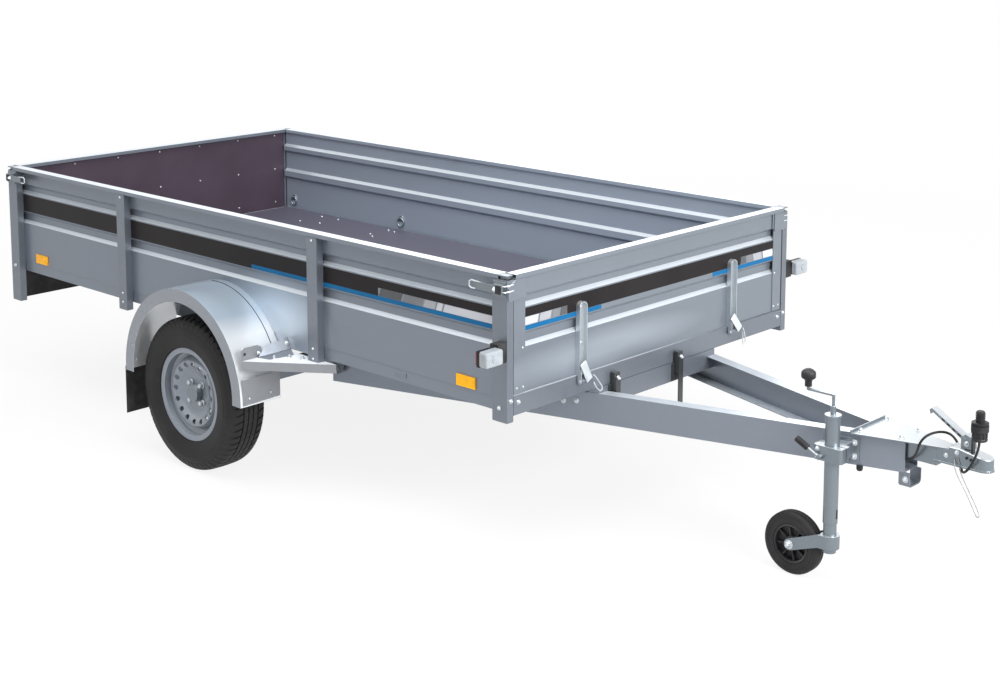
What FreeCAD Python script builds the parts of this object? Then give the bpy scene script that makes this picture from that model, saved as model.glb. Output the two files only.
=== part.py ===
import FreeCAD, Part
import math
import os

os.makedirs("parts", exist_ok=True)

# Single-axle utility trailer with a tipping box, in millimetres.
# +X points forward to the coupling, +Y to the left, +Z up from the ground.
# Pieces are drawn from the middle of the load box and moved to the origin on export.

# Load box
INNER_LENGTH = 3010.0
INNER_WIDTH = 1500.0
FLOOR_TOP = 592.0
FLOOR_THICKNESS = 12.0
WALL_HEIGHT = 399.0
WALL_DEPTH = 18.0
WALL_SKIRT = 26.0
WALL_END_GAP = 5.0
SHEET = 1.5
RIM_HEIGHT = 15.0
RIM_WALL = 1.5
SIDE_RIM_SETBACK = 7.0
SIDE_RIM_OVERHANG = 31.0
SIDE_RIM_END_GAP = 16.0
GATE_RIM_INSIDE = 10.5
GATE_RIM_OVERHANG = 13.0

# Ribs pressed inwards into the steel profile of walls and gates
RIB_INSIDE_GAP = 4.0
RIB_BEVEL = 12.0
UPPER_RIB_DROP = 80.0
UPPER_RIB_HEIGHT = 32.0
LOWER_RIB_DROP = 207.0
LOWER_RIB_HEIGHT = 39.0

# Floor frame
SILL_HEIGHT = 59.0
SILL_FLANGE = 45.0
FRAME_SHEET = 3.0
RAIL_HEIGHT = 65.0
RAIL_DEPTH = 42.0
RAIL_LIP = 4.0
CROSSMEMBER_WIDTH = 40.0
CROSSMEMBER_REAR = -1150.0
CROSSMEMBER_MIDDLE = -620.0
CROSSMEMBER_SPACING = 500.0

# Posts
POST_LENGTH = 66.0
POST_DEPTH = 30.0
POST_PROUD = 5.0
POST_WALL = 3.0
POST_TOP_GAP = 1.5
CAP_SHEET = 4.0
CAP_BELOW_RIM = 1.0
FRONT_POST_BELOW = 20.5
REAR_POST_BELOW = 135.0
STAKE_LENGTH = 56.0
STAKE_REAR_X = -655.0
STAKE_FRONT_X = 557.0
STAKE_BELOW = 31.0

# Gates
GATE_SIDE_GAP = 4.0
GATE_BOTTOM_GAP = 3.0
STILE_WIDTH = 55.0
STILE_SHEET = 3.0
STRAP_Y = 433.0
STRAP_WIDTH = 40.0
STRAP_DEPTH = 18.0
STRAP_SHEET = 3.0
STRAP_DROP = 149.0
HINGE_DROP = 19.0
HINGE_OUT = 12.0
HINGE_EYE_RADIUS = 9.0
HINGE_PIN_RADIUS = 6.0
HINGE_PIN_CLEARANCE = 0.1
LUG_GAP = 3.0
GATE_BOARD_THICKNESS = 9.0
CORNER_DROP = 17.0
CORNER_HEIGHT = 69.0
CORNER_CUT_LENGTH = 34.0
CORNER_CUT_HEIGHT = 24.0
CORNER_LATCH_DROP = 48.0

# Wheels, 165 R13 on a 5 inch rim
AXLE_X = -10.0
TYRE_RADIUS = 298.5
TYRE_HALF_WIDTH = 82.0
TYRE_WALL_GAP = 26.0
TREAD_EDGE = 20.0
TYRE_WALL = 9.0
RIM_SEAT_RADIUS = 165.0
RIM_FLANGE_HEIGHT = 17.5
RIM_WELL_DEPTH = 23.0
RIM_HALF_WIDTH = 67.0
RIM_SHEET = 4.0
BEAD_INSET = 8.0
SEAT_CLEARANCE = 0.3
VENT_COUNT = 16
VENT_RADIUS = 10.0
VENT_INSET = 25.5
BOLT_COUNT = 4
BOLT_CIRCLE = 50.0
BOLT_HEAD_RADIUS = 10.0
DISC_FACE = 26.0
DISC_SHEET = 4.0
HUB_RADIUS = 60.0
HUB_INNER = -20.0
HUB_BORE_DEPTH = 40.0
CAP_RADIUS = 32.0
CAP_HEIGHT = 26.0
STUB_RADIUS = 20.0
STUB_CLEARANCE = 0.1

# Axle
ARM_LENGTH = 150.0
ARM_WIDTH = 28.0
ARM_GAP = 2.0
ARM_BEAM_RADIUS = 38.0
ARM_STUB_RADIUS = 34.0
BEAM_RISE = 61.5
BEAM_SIZE = 60.0
BEAM_WALL = 4.0
AXLE_PLATE_INSET = 35.0
AXLE_PLATE_SHEET = 8.0
AXLE_PLATE_HALF_LENGTH = 90.0
AXLE_FOOT_SHEET = 6.0

# Mudguards
GUARD_TYRE_GAP = 67.5
GUARD_CENTRE_RISE = 53.5
GUARD_SHEET = 2.0
GUARD_OVERHANG = 27.0
GUARD_LIP = 50.0
GUARD_REAR_RISE = 35.5
GUARD_FRONT_RISE = 37.5
GUARD_NARROW_RISE = 185.5
GUARD_NARROW = 30.0
GUARD_WALL_GAP = 0.3
GUSSET_BELOW = 9.0
GUSSET_FLANGE = 33.0
GUSSET_INSET = 10.0
GUSSET_AHEAD = 93.0
GUSSET_EDGE = 2.4
FLAP_THICKNESS = 4.0
FLAP_WIDTH = 115.0
FLAP_BOTTOM = 156.0
FLAP_OVERLAP = 14.0

# Drawbar, a V of two channels that meets beyond its cut front end
DRAWBAR_REACH = 1160.0
DRAWBAR_DROP = 24.0
DRAWBAR_HEIGHT = 106.0
DRAWBAR_FLANGE = 45.0
DRAWBAR_SHEET = 3.0
DRAWBAR_TAIL = 37.0
BEAM_END_GAP = 11.18
PIVOT_X = 520.0
PIVOT_INSET = 137.48
PIVOT_DROP = 45.0
PIVOT_RADIUS = 8.0
PIVOT_PLATE = 6.0
PIVOT_PLATE_HALF_LENGTH = 40.0
PIVOT_PLATE_GAP = 2.0
PIVOT_EYE_RADIUS = 24.0
PIVOT_FOOT_WIDTH = 50.0
CROSS_TOP_GAP = 2.0
CROSS_DEPTH = 48.0
COVER_LENGTH = 306.0
COVER_PAST_APEX = 2.0
COVER_OVERHANG = 18.84
COVER_INSET = 8.0
COVER_SHEET = 3.0
COVER_FOLD = 12.0
REST_SETBACK = 22.0
REST_LENGTH = 38.0
REST_HEIGHT = 50.0
REST_HALF_WIDTH = 38.0
REST_SHEET = 4.0
REST_ROUNDING = 14.0

# Coupling
NOSE_PAST_APEX = 140.0
HEAD_LENGTH = 188.0
HEAD_WALL = 6.8
HEAD_LIP = 3.0
HEAD_LIP_HEIGHT = 5.0
HEAD_RISE = 12.0
HEAD_HEIGHT = 58.0
HEAD_NOSE_DROP = 19.0
HEAD_CROWN = 5.0
HEAD_ROUNDING = 6.0
BALL_RADIUS = 25.2
SHANK_LENGTH = 170.0
SHANK_HALF_WIDTH = 30.0
SHANK_DROP = 60.0
HANDLE_SETBACK = 106.0
HANDLE_BASE_HALF_WIDTH = 14.0
HANDLE_HALF_WIDTH = 16.0
PLUG_SETBACK = 28.0
PLUG_SIDE_GAP = 14.0
PLUG_RADIUS = 22.0
PLUG_TAIL_RADIUS = 11.0
PLUG_TAIL_HEIGHT = 8.0
PLUG_TIP_RADIUS = 13.0
PLUG_RISE = 57.0
PLUG_BODY_HEIGHT = 63.0
PLUG_TIP_HEIGHT = 35.0
HOLDER_RISE = 34.0
HOLDER_HEIGHT = 20.0
HOLDER_WALL = 5.0
HOLDER_LEG_SETBACK = 36.0
HOLDER_LEG_SHEET = 6.0

# Latches between the drawbar's crossmember and the box
TILT_LATCH_BEAM_GAP = 74.4
TILT_LATCH_LEFT_Y = 95.0
TILT_HANDLE_SHORT = 31.0
TILT_HANDLE_LONG = 158.0

# Jockey wheel
JOCKEY_SETBACK = 332.0
JOCKEY_BEAM_GAP = 67.72
JOCKEY_RADIUS = 24.0
JOCKEY_WALL = 2.4
JOCKEY_INNER_WALL = 3.0
JOCKEY_CLEARANCE = 0.1
JOCKEY_ABOVE_CLAMP = 101.0
JOCKEY_FORK_GAP = 40.0
JOCKEY_INNER_SHORT = 87.0
CLAMP_HALF_LENGTH = 52.0
CLAMP_OUTER_WALL = 8.0
CLAMP_INNER_WALL = 2.0
CLAMP_NECK_WALL = 10.0
CLAMP_DROP = 77.0
CLAMP_HEIGHT = 48.0
CLAMP_ROUNDING = 12.0
CLAMP_FLANGE_SHEET = 5.0
CLAMP_FLANGE_BELOW = 14.0
CLAMP_FLANGE_ABOVE = 12.0
CLAMP_SLIT = 4.0
CLAMP_CLEARANCE = 0.1
LEVER_SHAFT_RADIUS = 8.0
LEVER_SHAFT_LENGTH = 16.0
LEVER_RADIUS = 4.5
LEVER_SOCKET = 20.0
LEVER_GRIP_LENGTH = 50.0
LEVER_GRIP_RADIUS = 11.0
CRANK_ARM = 95.0
CRANK_RISE = 64.0
CRANK_NECK = 28.0
CRANK_RADIUS = 5.0
KNOB_RADIUS = 24.0
FORK_WHEEL_GAP = 28.0
FORK_RISE = 19.0
FORK_HEIGHT = 44.0
FORK_SHEET = 5.0
FORK_END_RADIUS = 19.0
FORK_TUBE_BELOW = 15.0
JOCKEY_WHEEL_RADIUS = 105.0
JOCKEY_WHEEL_WIDTH = 50.0
JOCKEY_TYRE_HEIGHT = 39.0
JOCKEY_WHEEL_GAP = 2.0
JOCKEY_AXLE_RADIUS = 8.0

# Lamps, rings and small pieces
LIGHT_BOARD_SETBACK = 22.0
LIGHT_BOARD_SHEET = 6.0
LIGHT_BOARD_RISE = 4.0
LAMP_DEPTH = 36.0
LAMP_LENGTH = 220.0
LAMP_END_GAP = 18.0
LAMP_BOTTOM_GAP = 12.0
LAMP_TOP_GAP = 7.0
PLATE_HALF_LENGTH = 260.0
PLATE_SHEET = 3.0
PLATE_BOTTOM_GAP = 14.0
PLATE_TOP_GAP = 11.0
MARKER_DROP = 254.0
MARKER_ARM_REACH = 40.0
MARKER_LENGTH = 78.0
MARKER_ROUNDING = 8.0
REFLECTOR_BELOW = 1.0
REFLECTOR_LENGTH = 87.0
REFLECTOR_HEIGHT = 39.0
REFLECTOR_DEPTH = 6.0
REFLECTOR_REAR_GAP = 187.0
REFLECTOR_FRONT_GAP = 191.0
RING_RADIUS = 20.0
RING_WIRE = 3.5
RING_RISE = 40.0
RING_END_GAP = 65.0
RING_MIDDLE_X = 641.0

# Cables
CABLE_RADIUS = 4.0
WIRE_RADIUS = 1.5

# Places that follow from the sizes above
HALF_LENGTH = INNER_LENGTH / 2
HALF_WIDTH = INNER_WIDTH / 2
WALL_FACE = HALF_WIDTH + WALL_DEPTH
GATE_FACE = HALF_LENGTH + WALL_DEPTH
RIB_DEPTH = WALL_DEPTH - RIB_INSIDE_GAP
RIM_TOP = FLOOR_TOP + WALL_HEIGHT
RIM_BOTTOM = RIM_TOP - RIM_HEIGHT
SIDE_RIM_IN = HALF_WIDTH + SIDE_RIM_SETBACK
SIDE_RIM_OUT = WALL_FACE + SIDE_RIM_OVERHANG
SIDE_RIM_END = HALF_LENGTH - SIDE_RIM_END_GAP
GATE_RIM_IN = HALF_LENGTH - GATE_RIM_INSIDE
GATE_RIM_OUT = GATE_FACE + GATE_RIM_OVERHANG
WALL_BOTTOM = FLOOR_TOP - WALL_SKIRT
UPPER_RIB_TOP = RIM_TOP - UPPER_RIB_DROP
UPPER_RIB_BOTTOM = UPPER_RIB_TOP - UPPER_RIB_HEIGHT
LOWER_RIB_TOP = RIM_TOP - LOWER_RIB_DROP
LOWER_RIB_BOTTOM = LOWER_RIB_TOP - LOWER_RIB_HEIGHT
FLOOR_BOTTOM = FLOOR_TOP - FLOOR_THICKNESS
SILL_BOTTOM = FLOOR_BOTTOM - SILL_HEIGHT
SILL_FACE = WALL_FACE - SHEET - 0.3
POST_SIDE = WALL_FACE + POST_DEPTH
POST_FACE = GATE_FACE + POST_PROUD
RAIL_TOP = FLOOR_BOTTOM + RAIL_LIP
RAIL_BOTTOM = RAIL_TOP - RAIL_HEIGHT
RAIL_REAR = POST_FACE - RAIL_DEPTH
CROSSMEMBER_PLACES = (CROSSMEMBER_REAR, CROSSMEMBER_MIDDLE, PIVOT_X, PIVOT_X + CROSSMEMBER_SPACING)
GUSSET_Z = SILL_BOTTOM - GUSSET_BELOW
FRONT_POST_BOTTOM = RAIL_BOTTOM - FRONT_POST_BELOW
REAR_POST_BOTTOM = RAIL_BOTTOM - REAR_POST_BELOW
STAKE_PLACES = (STAKE_REAR_X, STAKE_FRONT_X)
STAKE_BOTTOMS = (SILL_BOTTOM - STAKE_BELOW, GUSSET_Z + 0.3)
GATE_BOTTOM = RAIL_TOP + GATE_BOTTOM_GAP
GATE_END = WALL_FACE - GATE_SIDE_GAP
STRAP_TOP = RIM_TOP - STRAP_DROP
HINGE_X = POST_FACE + HINGE_OUT
HINGE_Z = RAIL_TOP - HINGE_DROP
LUG_WIDTH = STRAP_WIDTH - 2 * STRAP_SHEET - 2 * LUG_GAP
CORNER_LATCH_Z = RIM_TOP - CORNER_LATCH_DROP
WHEEL_Y = WALL_FACE + TYRE_WALL_GAP + TYRE_HALF_WIDTH
TREAD_HALF_WIDTH = TYRE_HALF_WIDTH - TREAD_EDGE
RIM_FLANGE_RADIUS = RIM_SEAT_RADIUS + RIM_FLANGE_HEIGHT
RIM_WELL_RADIUS = RIM_SEAT_RADIUS - RIM_WELL_DEPTH
DISC_RADIUS = RIM_WELL_RADIUS - RIM_SHEET + 0.5
VENT_CIRCLE = DISC_RADIUS - VENT_INSET
BEAM_Z = TYRE_RADIUS + BEAM_RISE
AXLE_PLATE_Y = HALF_WIDTH - AXLE_PLATE_INSET
GUARD_RADIUS = TYRE_RADIUS + GUARD_TYRE_GAP
GUARD_CENTRE_Z = TYRE_RADIUS + GUARD_CENTRE_RISE
GUARD_OUT = WHEEL_Y + TYRE_HALF_WIDTH + GUARD_OVERHANG
GUARD_REAR_BOTTOM = TYRE_RADIUS + GUARD_REAR_RISE
GUARD_FRONT_BOTTOM = TYRE_RADIUS + GUARD_FRONT_RISE
GUARD_NARROW_Z = TYRE_RADIUS + GUARD_NARROW_RISE
GUARD_NARROW_Y = WALL_FACE + GUARD_NARROW
GUSSET_OUT = GUARD_OUT - GUSSET_INSET
GUSSET_FRONT = STAKE_FRONT_X + GUSSET_AHEAD
DRAWBAR_TOP = RAIL_BOTTOM - DRAWBAR_DROP
DRAWBAR_BOTTOM = DRAWBAR_TOP - DRAWBAR_HEIGHT
DRAWBAR_APEX = POST_FACE + DRAWBAR_REACH
DRAWBAR_SLOPE = (SILL_FACE - PIVOT_INSET) / (DRAWBAR_APEX - PIVOT_X)
DRAWBAR_REAR = PIVOT_X - DRAWBAR_TAIL
DRAWBAR_FRONT = DRAWBAR_APEX - (SHANK_HALF_WIDTH + BEAM_END_GAP) / DRAWBAR_SLOPE
PIVOT_Z = DRAWBAR_TOP - PIVOT_DROP
CROSS_BOTTOM = DRAWBAR_TOP - CROSS_DEPTH
REST_REAR = DRAWBAR_FRONT - REST_SETBACK
REST_FRONT = REST_REAR + REST_LENGTH
REST_BOTTOM = DRAWBAR_BOTTOM - REST_HEIGHT
HEAD_HALF_WIDTH = BALL_RADIUS + HEAD_WALL
COVER_FRONT = DRAWBAR_APEX + COVER_PAST_APEX
COVER_REAR = COVER_FRONT - COVER_LENGTH
COVER_REAR_Y = DRAWBAR_SLOPE * (DRAWBAR_APEX - COVER_REAR) + COVER_OVERHANG
COVER_FRONT_Y = HEAD_HALF_WIDTH - COVER_INSET
NOSE_X = DRAWBAR_APEX + NOSE_PAST_APEX
HEAD_REAR = NOSE_X - HEAD_LENGTH
HEAD_TOP = DRAWBAR_TOP + HEAD_RISE
HEAD_NOSE_TOP = HEAD_TOP - HEAD_NOSE_DROP
HEAD_BOTTOM = HEAD_TOP - HEAD_HEIGHT
BALL_DEPTH = HEAD_HEIGHT - HEAD_NOSE_DROP - HEAD_CROWN
SHANK_REAR = HEAD_REAR - SHANK_LENGTH
SHANK_BOTTOM = DRAWBAR_TOP - SHANK_DROP
HANDLE_X = NOSE_X - HANDLE_SETBACK
PLUG_X = NOSE_X - PLUG_SETBACK
PLUG_Y = -HEAD_HALF_WIDTH - PLUG_SIDE_GAP
PLUG_BOTTOM = DRAWBAR_TOP + PLUG_RISE
PLUG_SHOULDER = PLUG_BOTTOM + PLUG_BODY_HEIGHT
PLUG_TOP = PLUG_SHOULDER + PLUG_TIP_HEIGHT
HOLDER_LOW = PLUG_BOTTOM + HOLDER_RISE
HOLDER_HIGH = HOLDER_LOW + HOLDER_HEIGHT
TILT_LATCH_RIGHT_Y = TILT_LATCH_BEAM_GAP - DRAWBAR_SLOPE * (DRAWBAR_APEX - POST_FACE)
JOCKEY_X = DRAWBAR_APEX - JOCKEY_SETBACK
JOCKEY_Y = -DRAWBAR_SLOPE * JOCKEY_SETBACK - JOCKEY_BEAM_GAP
JOCKEY_BORE = JOCKEY_RADIUS - JOCKEY_WALL
JOCKEY_INNER_RADIUS = JOCKEY_BORE - JOCKEY_CLEARANCE
CLAMP_OUT_Y = JOCKEY_Y - JOCKEY_RADIUS - CLAMP_OUTER_WALL
CLAMP_IN_Y = JOCKEY_Y + JOCKEY_RADIUS + CLAMP_INNER_WALL
CLAMP_NECK_HALF_LENGTH = JOCKEY_RADIUS + CLAMP_NECK_WALL
CLAMP_BOTTOM = DRAWBAR_TOP - CLAMP_DROP
CLAMP_TOP = CLAMP_BOTTOM + CLAMP_HEIGHT
CLAMP_FLANGE_BOTTOM = CLAMP_BOTTOM - CLAMP_FLANGE_BELOW
CLAMP_FLANGE_TOP = CLAMP_TOP + CLAMP_FLANGE_ABOVE
LEVER_ROOT = (JOCKEY_X - 21, CLAMP_OUT_Y - 12, CLAMP_BOTTOM + 13)
LEVER_END = (JOCKEY_X - 103, CLAMP_OUT_Y - 18, CLAMP_TOP + 12)
JOCKEY_TOP = CLAMP_TOP + JOCKEY_ABOVE_CLAMP
CRANK_Z = JOCKEY_TOP + CRANK_RISE
FORK_TRAIL = JOCKEY_WHEEL_RADIUS + FORK_WHEEL_GAP
FORK_LOW = JOCKEY_WHEEL_RADIUS + FORK_RISE
FORK_HIGH = FORK_LOW + FORK_HEIGHT
JOCKEY_BOTTOM = FORK_HIGH + JOCKEY_FORK_GAP
JOCKEY_INNER_BOTTOM = FORK_LOW - FORK_TUBE_BELOW
JOCKEY_INNER_TOP = JOCKEY_TOP - JOCKEY_INNER_SHORT
JOCKEY_HUB_RADIUS = JOCKEY_WHEEL_RADIUS - JOCKEY_TYRE_HEIGHT
LIGHT_BOARD_X = POST_FACE - LIGHT_BOARD_SETBACK
MARKER_Z = RIM_TOP - MARKER_DROP
REFLECTOR_Z = FLOOR_TOP - REFLECTOR_BELOW
REFLECTOR_PLACES = (REFLECTOR_REAR_GAP - HALF_LENGTH, HALF_LENGTH - REFLECTOR_FRONT_GAP)
RING_Z = FLOOR_TOP + RING_RISE
RING_PLACES = (RING_END_GAP - HALF_LENGTH, -RING_MIDDLE_X, RING_MIDDLE_X, HALF_LENGTH - RING_END_GAP)
ORIGIN_X = (NOSE_X - HINGE_X - HINGE_EYE_RADIUS) / 2

# The cables' points were chosen for a coupling whose nose and drawbar top stand here
CORD_NOSE_X = 2828.0
CORD_DRAWBAR_TOP = 495.0
X_AXIS = FreeCAD.Vector(1, 0, 0)
Y_AXIS = FreeCAD.Vector(0, 1, 0)
Z_AXIS = FreeCAD.Vector(0, 0, 1)


def point(x, y, z):
    return FreeCAD.Vector(x, y, z)


def block(x, y, z):
    """A box from three (low, high) pairs."""
    return Part.makeBox(x[1] - x[0], y[1] - y[0], z[1] - z[0], point(x[0], y[0], z[0]))


def rod(start, axis, radius, length):
    return Part.makeCylinder(radius, length, start, axis)


def outline_face(points):
    return Part.Face(Part.makePolygon(points + [points[0]]))


def along_x(points, low, high):
    """Extrude an outline of (y, z) points from low to high along X."""
    face = outline_face([point(low, y, z) for y, z in points])
    return face.extrude(X_AXIS * (high - low))


def along_y(points, low, high):
    """Extrude an outline of (x, z) points from low to high along Y."""
    face = outline_face([point(x, low, z) for x, z in points])
    return face.extrude(Y_AXIS * (high - low))


def along_z(points, low, high):
    """Extrude an outline of (x, y) points from low to high along Z."""
    face = outline_face([point(x, y, low) for x, y in points])
    return face.extrude(Z_AXIS * (high - low))


def fused(shapes):
    whole = shapes[0].fuse(shapes[1:]) if len(shapes) > 1 else shapes[0]
    return whole.removeSplitter()


def mirrored_y(shape):
    return shape.mirror(point(0, 0, 0), Y_AXIS)


def mirrored_x(shape):
    return shape.mirror(point(0, 0, 0), X_AXIS)


def turned(points, centre, axis):
    """Revolve an outline of points a full turn."""
    return outline_face(points).revolve(centre, axis, 360)


def export(name, *solids):
    shape = solids[0] if len(solids) == 1 else Part.makeCompound(list(solids))
    moved = shape.copy()
    moved.translate(point(-ORIGIN_X, 0, 0))
    moved.exportStep("parts/" + name + ".step")


def wall_outline(face, bottom):
    """Section of the ribbed steel profile: (outward, z) points round the sheet."""
    inside = face - RIB_DEPTH
    outer = [
        (face, bottom),
        (face, LOWER_RIB_BOTTOM - RIB_BEVEL / 2),
        (inside, LOWER_RIB_BOTTOM + RIB_BEVEL / 2),
        (inside, LOWER_RIB_TOP - RIB_BEVEL / 2),
        (face, LOWER_RIB_TOP + RIB_BEVEL / 2),
        (face, UPPER_RIB_BOTTOM - RIB_BEVEL / 2),
        (inside, UPPER_RIB_BOTTOM + RIB_BEVEL / 2),
        (inside, UPPER_RIB_TOP - RIB_BEVEL / 2),
        (face, UPPER_RIB_TOP + RIB_BEVEL / 2),
        (face, RIM_BOTTOM + RIM_WALL),
    ]
    inner = [(n - SHEET, z) for n, z in reversed(outer)]
    return outer + inner


def rim_outline(inner_edge, outer_edge, inset):
    """Rectangle of the rim's section, shrunk by inset."""
    return [
        (inner_edge + inset, RIM_BOTTOM + inset),
        (outer_edge - inset, RIM_BOTTOM + inset),
        (outer_edge - inset, RIM_TOP - inset),
        (inner_edge + inset, RIM_TOP - inset),
    ]


def left_side_wall():
    end = HALF_LENGTH - WALL_END_GAP
    sheet = along_x(wall_outline(WALL_FACE, WALL_BOTTOM), -end, end)
    rim = along_x(rim_outline(SIDE_RIM_IN, SIDE_RIM_OUT, 0), -SIDE_RIM_END, SIDE_RIM_END)
    rim = rim.cut(along_x(rim_outline(SIDE_RIM_IN, SIDE_RIM_OUT, RIM_WALL), -SIDE_RIM_END, SIDE_RIM_END))
    return fused([sheet, rim])


def gate_frame(with_sheet):
    """Front gate: ribbed sheet, rim, end stiles and corner plates."""
    rim = along_y(rim_outline(GATE_RIM_IN, GATE_RIM_OUT, 0), -GATE_END, GATE_END)
    rim = rim.cut(along_y(rim_outline(GATE_RIM_IN, GATE_RIM_OUT, RIM_WALL), -GATE_END, GATE_END))
    pieces = [rim]
    stile_in = GATE_END - STILE_WIDTH
    if with_sheet:
        pieces.append(along_y(wall_outline(GATE_FACE, GATE_BOTTOM), -GATE_END, GATE_END))
    else:
        bottom_strip = block((GATE_FACE - SHEET, GATE_FACE), (-GATE_END, GATE_END),
                             (GATE_BOTTOM, GATE_BOTTOM + STILE_WIDTH))
        top_strip = block((GATE_FACE - SHEET, GATE_FACE), (-GATE_END, GATE_END),
                          (RIM_BOTTOM - STILE_WIDTH / 2, RIM_BOTTOM))
        pieces += [bottom_strip, top_strip]
    for side in (-1, 1):
        span = sorted((side * stile_in, side * GATE_END))
        stile = block((GATE_FACE, GATE_FACE + STILE_SHEET), span, (GATE_BOTTOM, RIM_BOTTOM + RIM_WALL))
        pieces.append(stile)
        end_span = sorted((side * (GATE_END - STILE_SHEET), side * GATE_END))
        pieces.append(block((HALF_LENGTH + SHEET, GATE_FACE + STILE_SHEET), end_span,
                            (GATE_BOTTOM, RIM_BOTTOM + RIM_WALL)))
        if not with_sheet:
            pieces.append(block((GATE_FACE - SHEET, GATE_FACE), span, (GATE_BOTTOM, RIM_BOTTOM)))
        pieces += corner_plate(side)
    return fused(pieces)


def corner_plate(side):
    """Plate on the gate's top corner that reaches over the post for the latch."""
    low = POST_FACE + 0.5
    high = low + STILE_SHEET
    reach = POST_SIDE - 4
    inner = GATE_END - STILE_WIDTH
    top = RIM_TOP - CORNER_DROP
    bottom = top - CORNER_HEIGHT
    outline = [
        (side * inner, bottom),
        (side * reach, bottom),
        (side * reach, top - CORNER_CUT_HEIGHT),
        (side * (reach - CORNER_CUT_LENGTH), top),
        (side * inner, top),
    ]
    plate = along_x(outline, low, high)
    pad_span = sorted((side * inner, side * (GATE_END - 2)))
    pad = block((GATE_FACE + STILE_SHEET, low), pad_span, (bottom, top))
    return [plate, pad]


def front_strap(side):
    """Channel strap on the gate with an eye and a hinge pin at its foot."""
    y = side * STRAP_Y
    half = STRAP_WIDTH / 2
    round_z = STRAP_TOP - half
    web = fused([
        block((GATE_FACE, GATE_FACE + STRAP_SHEET), (y - half, y + half), (GATE_BOTTOM, round_z)),
        rod(point(GATE_FACE, y, round_z), X_AXIS, half, STRAP_SHEET),
    ])
    crown = rod(point(GATE_FACE, y, round_z), X_AXIS, half, STRAP_DEPTH)
    crown = crown.cut(rod(point(GATE_FACE, y, round_z), X_AXIS, half - STRAP_SHEET, STRAP_DEPTH))
    crown = crown.cut(block((GATE_FACE, GATE_FACE + STRAP_DEPTH), (y - half, y + half),
                            (round_z - STRAP_WIDTH, round_z)))
    pieces = [web, crown]
    for cheek in (-1, 1):
        low, high = sorted((y + cheek * half, y + cheek * (half - STRAP_SHEET)))
        pieces.append(block((GATE_FACE, GATE_FACE + STRAP_DEPTH), (low, high), (GATE_BOTTOM, round_z)))
        foot = [
            (HINGE_X - HINGE_EYE_RADIUS, HINGE_Z),
            (HINGE_X + HINGE_EYE_RADIUS, HINGE_Z),
            (HINGE_X + HINGE_EYE_RADIUS, GATE_BOTTOM + STRAP_WIDTH / 2),
            (HINGE_X - HINGE_EYE_RADIUS, GATE_BOTTOM + STRAP_WIDTH / 2),
        ]
        pieces.append(along_y(foot, low, high))
        pieces.append(rod(point(HINGE_X, low, HINGE_Z), Y_AXIS, HINGE_EYE_RADIUS, STRAP_SHEET))
    pieces.append(rod(point(HINGE_X, y - half - 3, HINGE_Z), Y_AXIS, HINGE_PIN_RADIUS, STRAP_WIDTH + 6))
    return fused(pieces)


def hinge_lug(side):
    """Lug on the end rail that the hinge pin turns in."""
    y = side * STRAP_Y
    low = y - LUG_WIDTH / 2
    body = fused([
        block((POST_FACE, HINGE_X), (low, low + LUG_WIDTH),
              (HINGE_Z - HINGE_EYE_RADIUS, HINGE_Z + HINGE_EYE_RADIUS)),
        rod(point(HINGE_X, low, HINGE_Z), Y_AXIS, HINGE_EYE_RADIUS, LUG_WIDTH),
    ])
    bore = rod(point(HINGE_X, low, HINGE_Z), Y_AXIS, HINGE_PIN_RADIUS + HINGE_PIN_CLEARANCE, LUG_WIDTH)
    return body.cut(bore)


def front_rail():
    half = SILL_FACE
    body = block((RAIL_REAR, POST_FACE), (-half, half), (RAIL_BOTTOM, RAIL_TOP))
    hollow = block((RAIL_REAR, POST_FACE - FRAME_SHEET), (-half, half),
                   (RAIL_BOTTOM + FRAME_SHEET, RAIL_TOP - FRAME_SHEET))
    return fused([body.cut(hollow), hinge_lug(-1), hinge_lug(1)])


def left_sill():
    end = RAIL_REAR
    inside = SILL_FACE - SILL_FLANGE
    web = block((-end, end), (SILL_FACE - FRAME_SHEET, SILL_FACE), (SILL_BOTTOM, FLOOR_BOTTOM))
    top = block((-end, end), (inside, SILL_FACE), (FLOOR_BOTTOM - FRAME_SHEET, FLOOR_BOTTOM))
    low = block((-end, end), (inside, SILL_FACE), (SILL_BOTTOM, SILL_BOTTOM + FRAME_SHEET))
    return fused([web, top, low])


def crossmember(x):
    half = SILL_FACE - SILL_FLANGE - 0.3
    body = block((x - CROSSMEMBER_WIDTH / 2, x + CROSSMEMBER_WIDTH / 2), (-half, half),
                 (SILL_BOTTOM, FLOOR_BOTTOM))
    hollow = block((x - CROSSMEMBER_WIDTH / 2 + FRAME_SHEET, x + CROSSMEMBER_WIDTH / 2), (-half, half),
                   (SILL_BOTTOM + FRAME_SHEET, FLOOR_BOTTOM - FRAME_SHEET))
    return body.cut(hollow)


def floor_board():
    length = RAIL_REAR - 0.3
    width = WALL_FACE - WALL_DEPTH + 1
    return block((-length, length), (-width, width), (FLOOR_BOTTOM, FLOOR_TOP))


def left_post(bottom):
    """Front left corner post: a square tube with a raised cap over the corner."""
    x = (POST_FACE - POST_LENGTH, POST_FACE)
    y = (WALL_FACE, POST_SIDE)
    top = RIM_BOTTOM - POST_TOP_GAP
    tube = block(x, y, (bottom, top))
    tube = tube.cut(block((x[0] + POST_WALL, x[1] - POST_WALL), (y[0] + POST_WALL, y[1] - POST_WALL),
                          (bottom, top - POST_WALL)))
    cap_top = RIM_TOP - CAP_BELOW_RIM
    cap_x = (SIDE_RIM_END + 0.5, x[1])
    cap = block(cap_x, (y[0] + 1, SIDE_RIM_OUT), (cap_top - CAP_SHEET, cap_top))
    stem = block((cap_x[0], x[1] - 8), (y[0] + 1, y[1] - 8), (top - POST_WALL, cap_top))
    return fused([tube, cap, stem])


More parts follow.
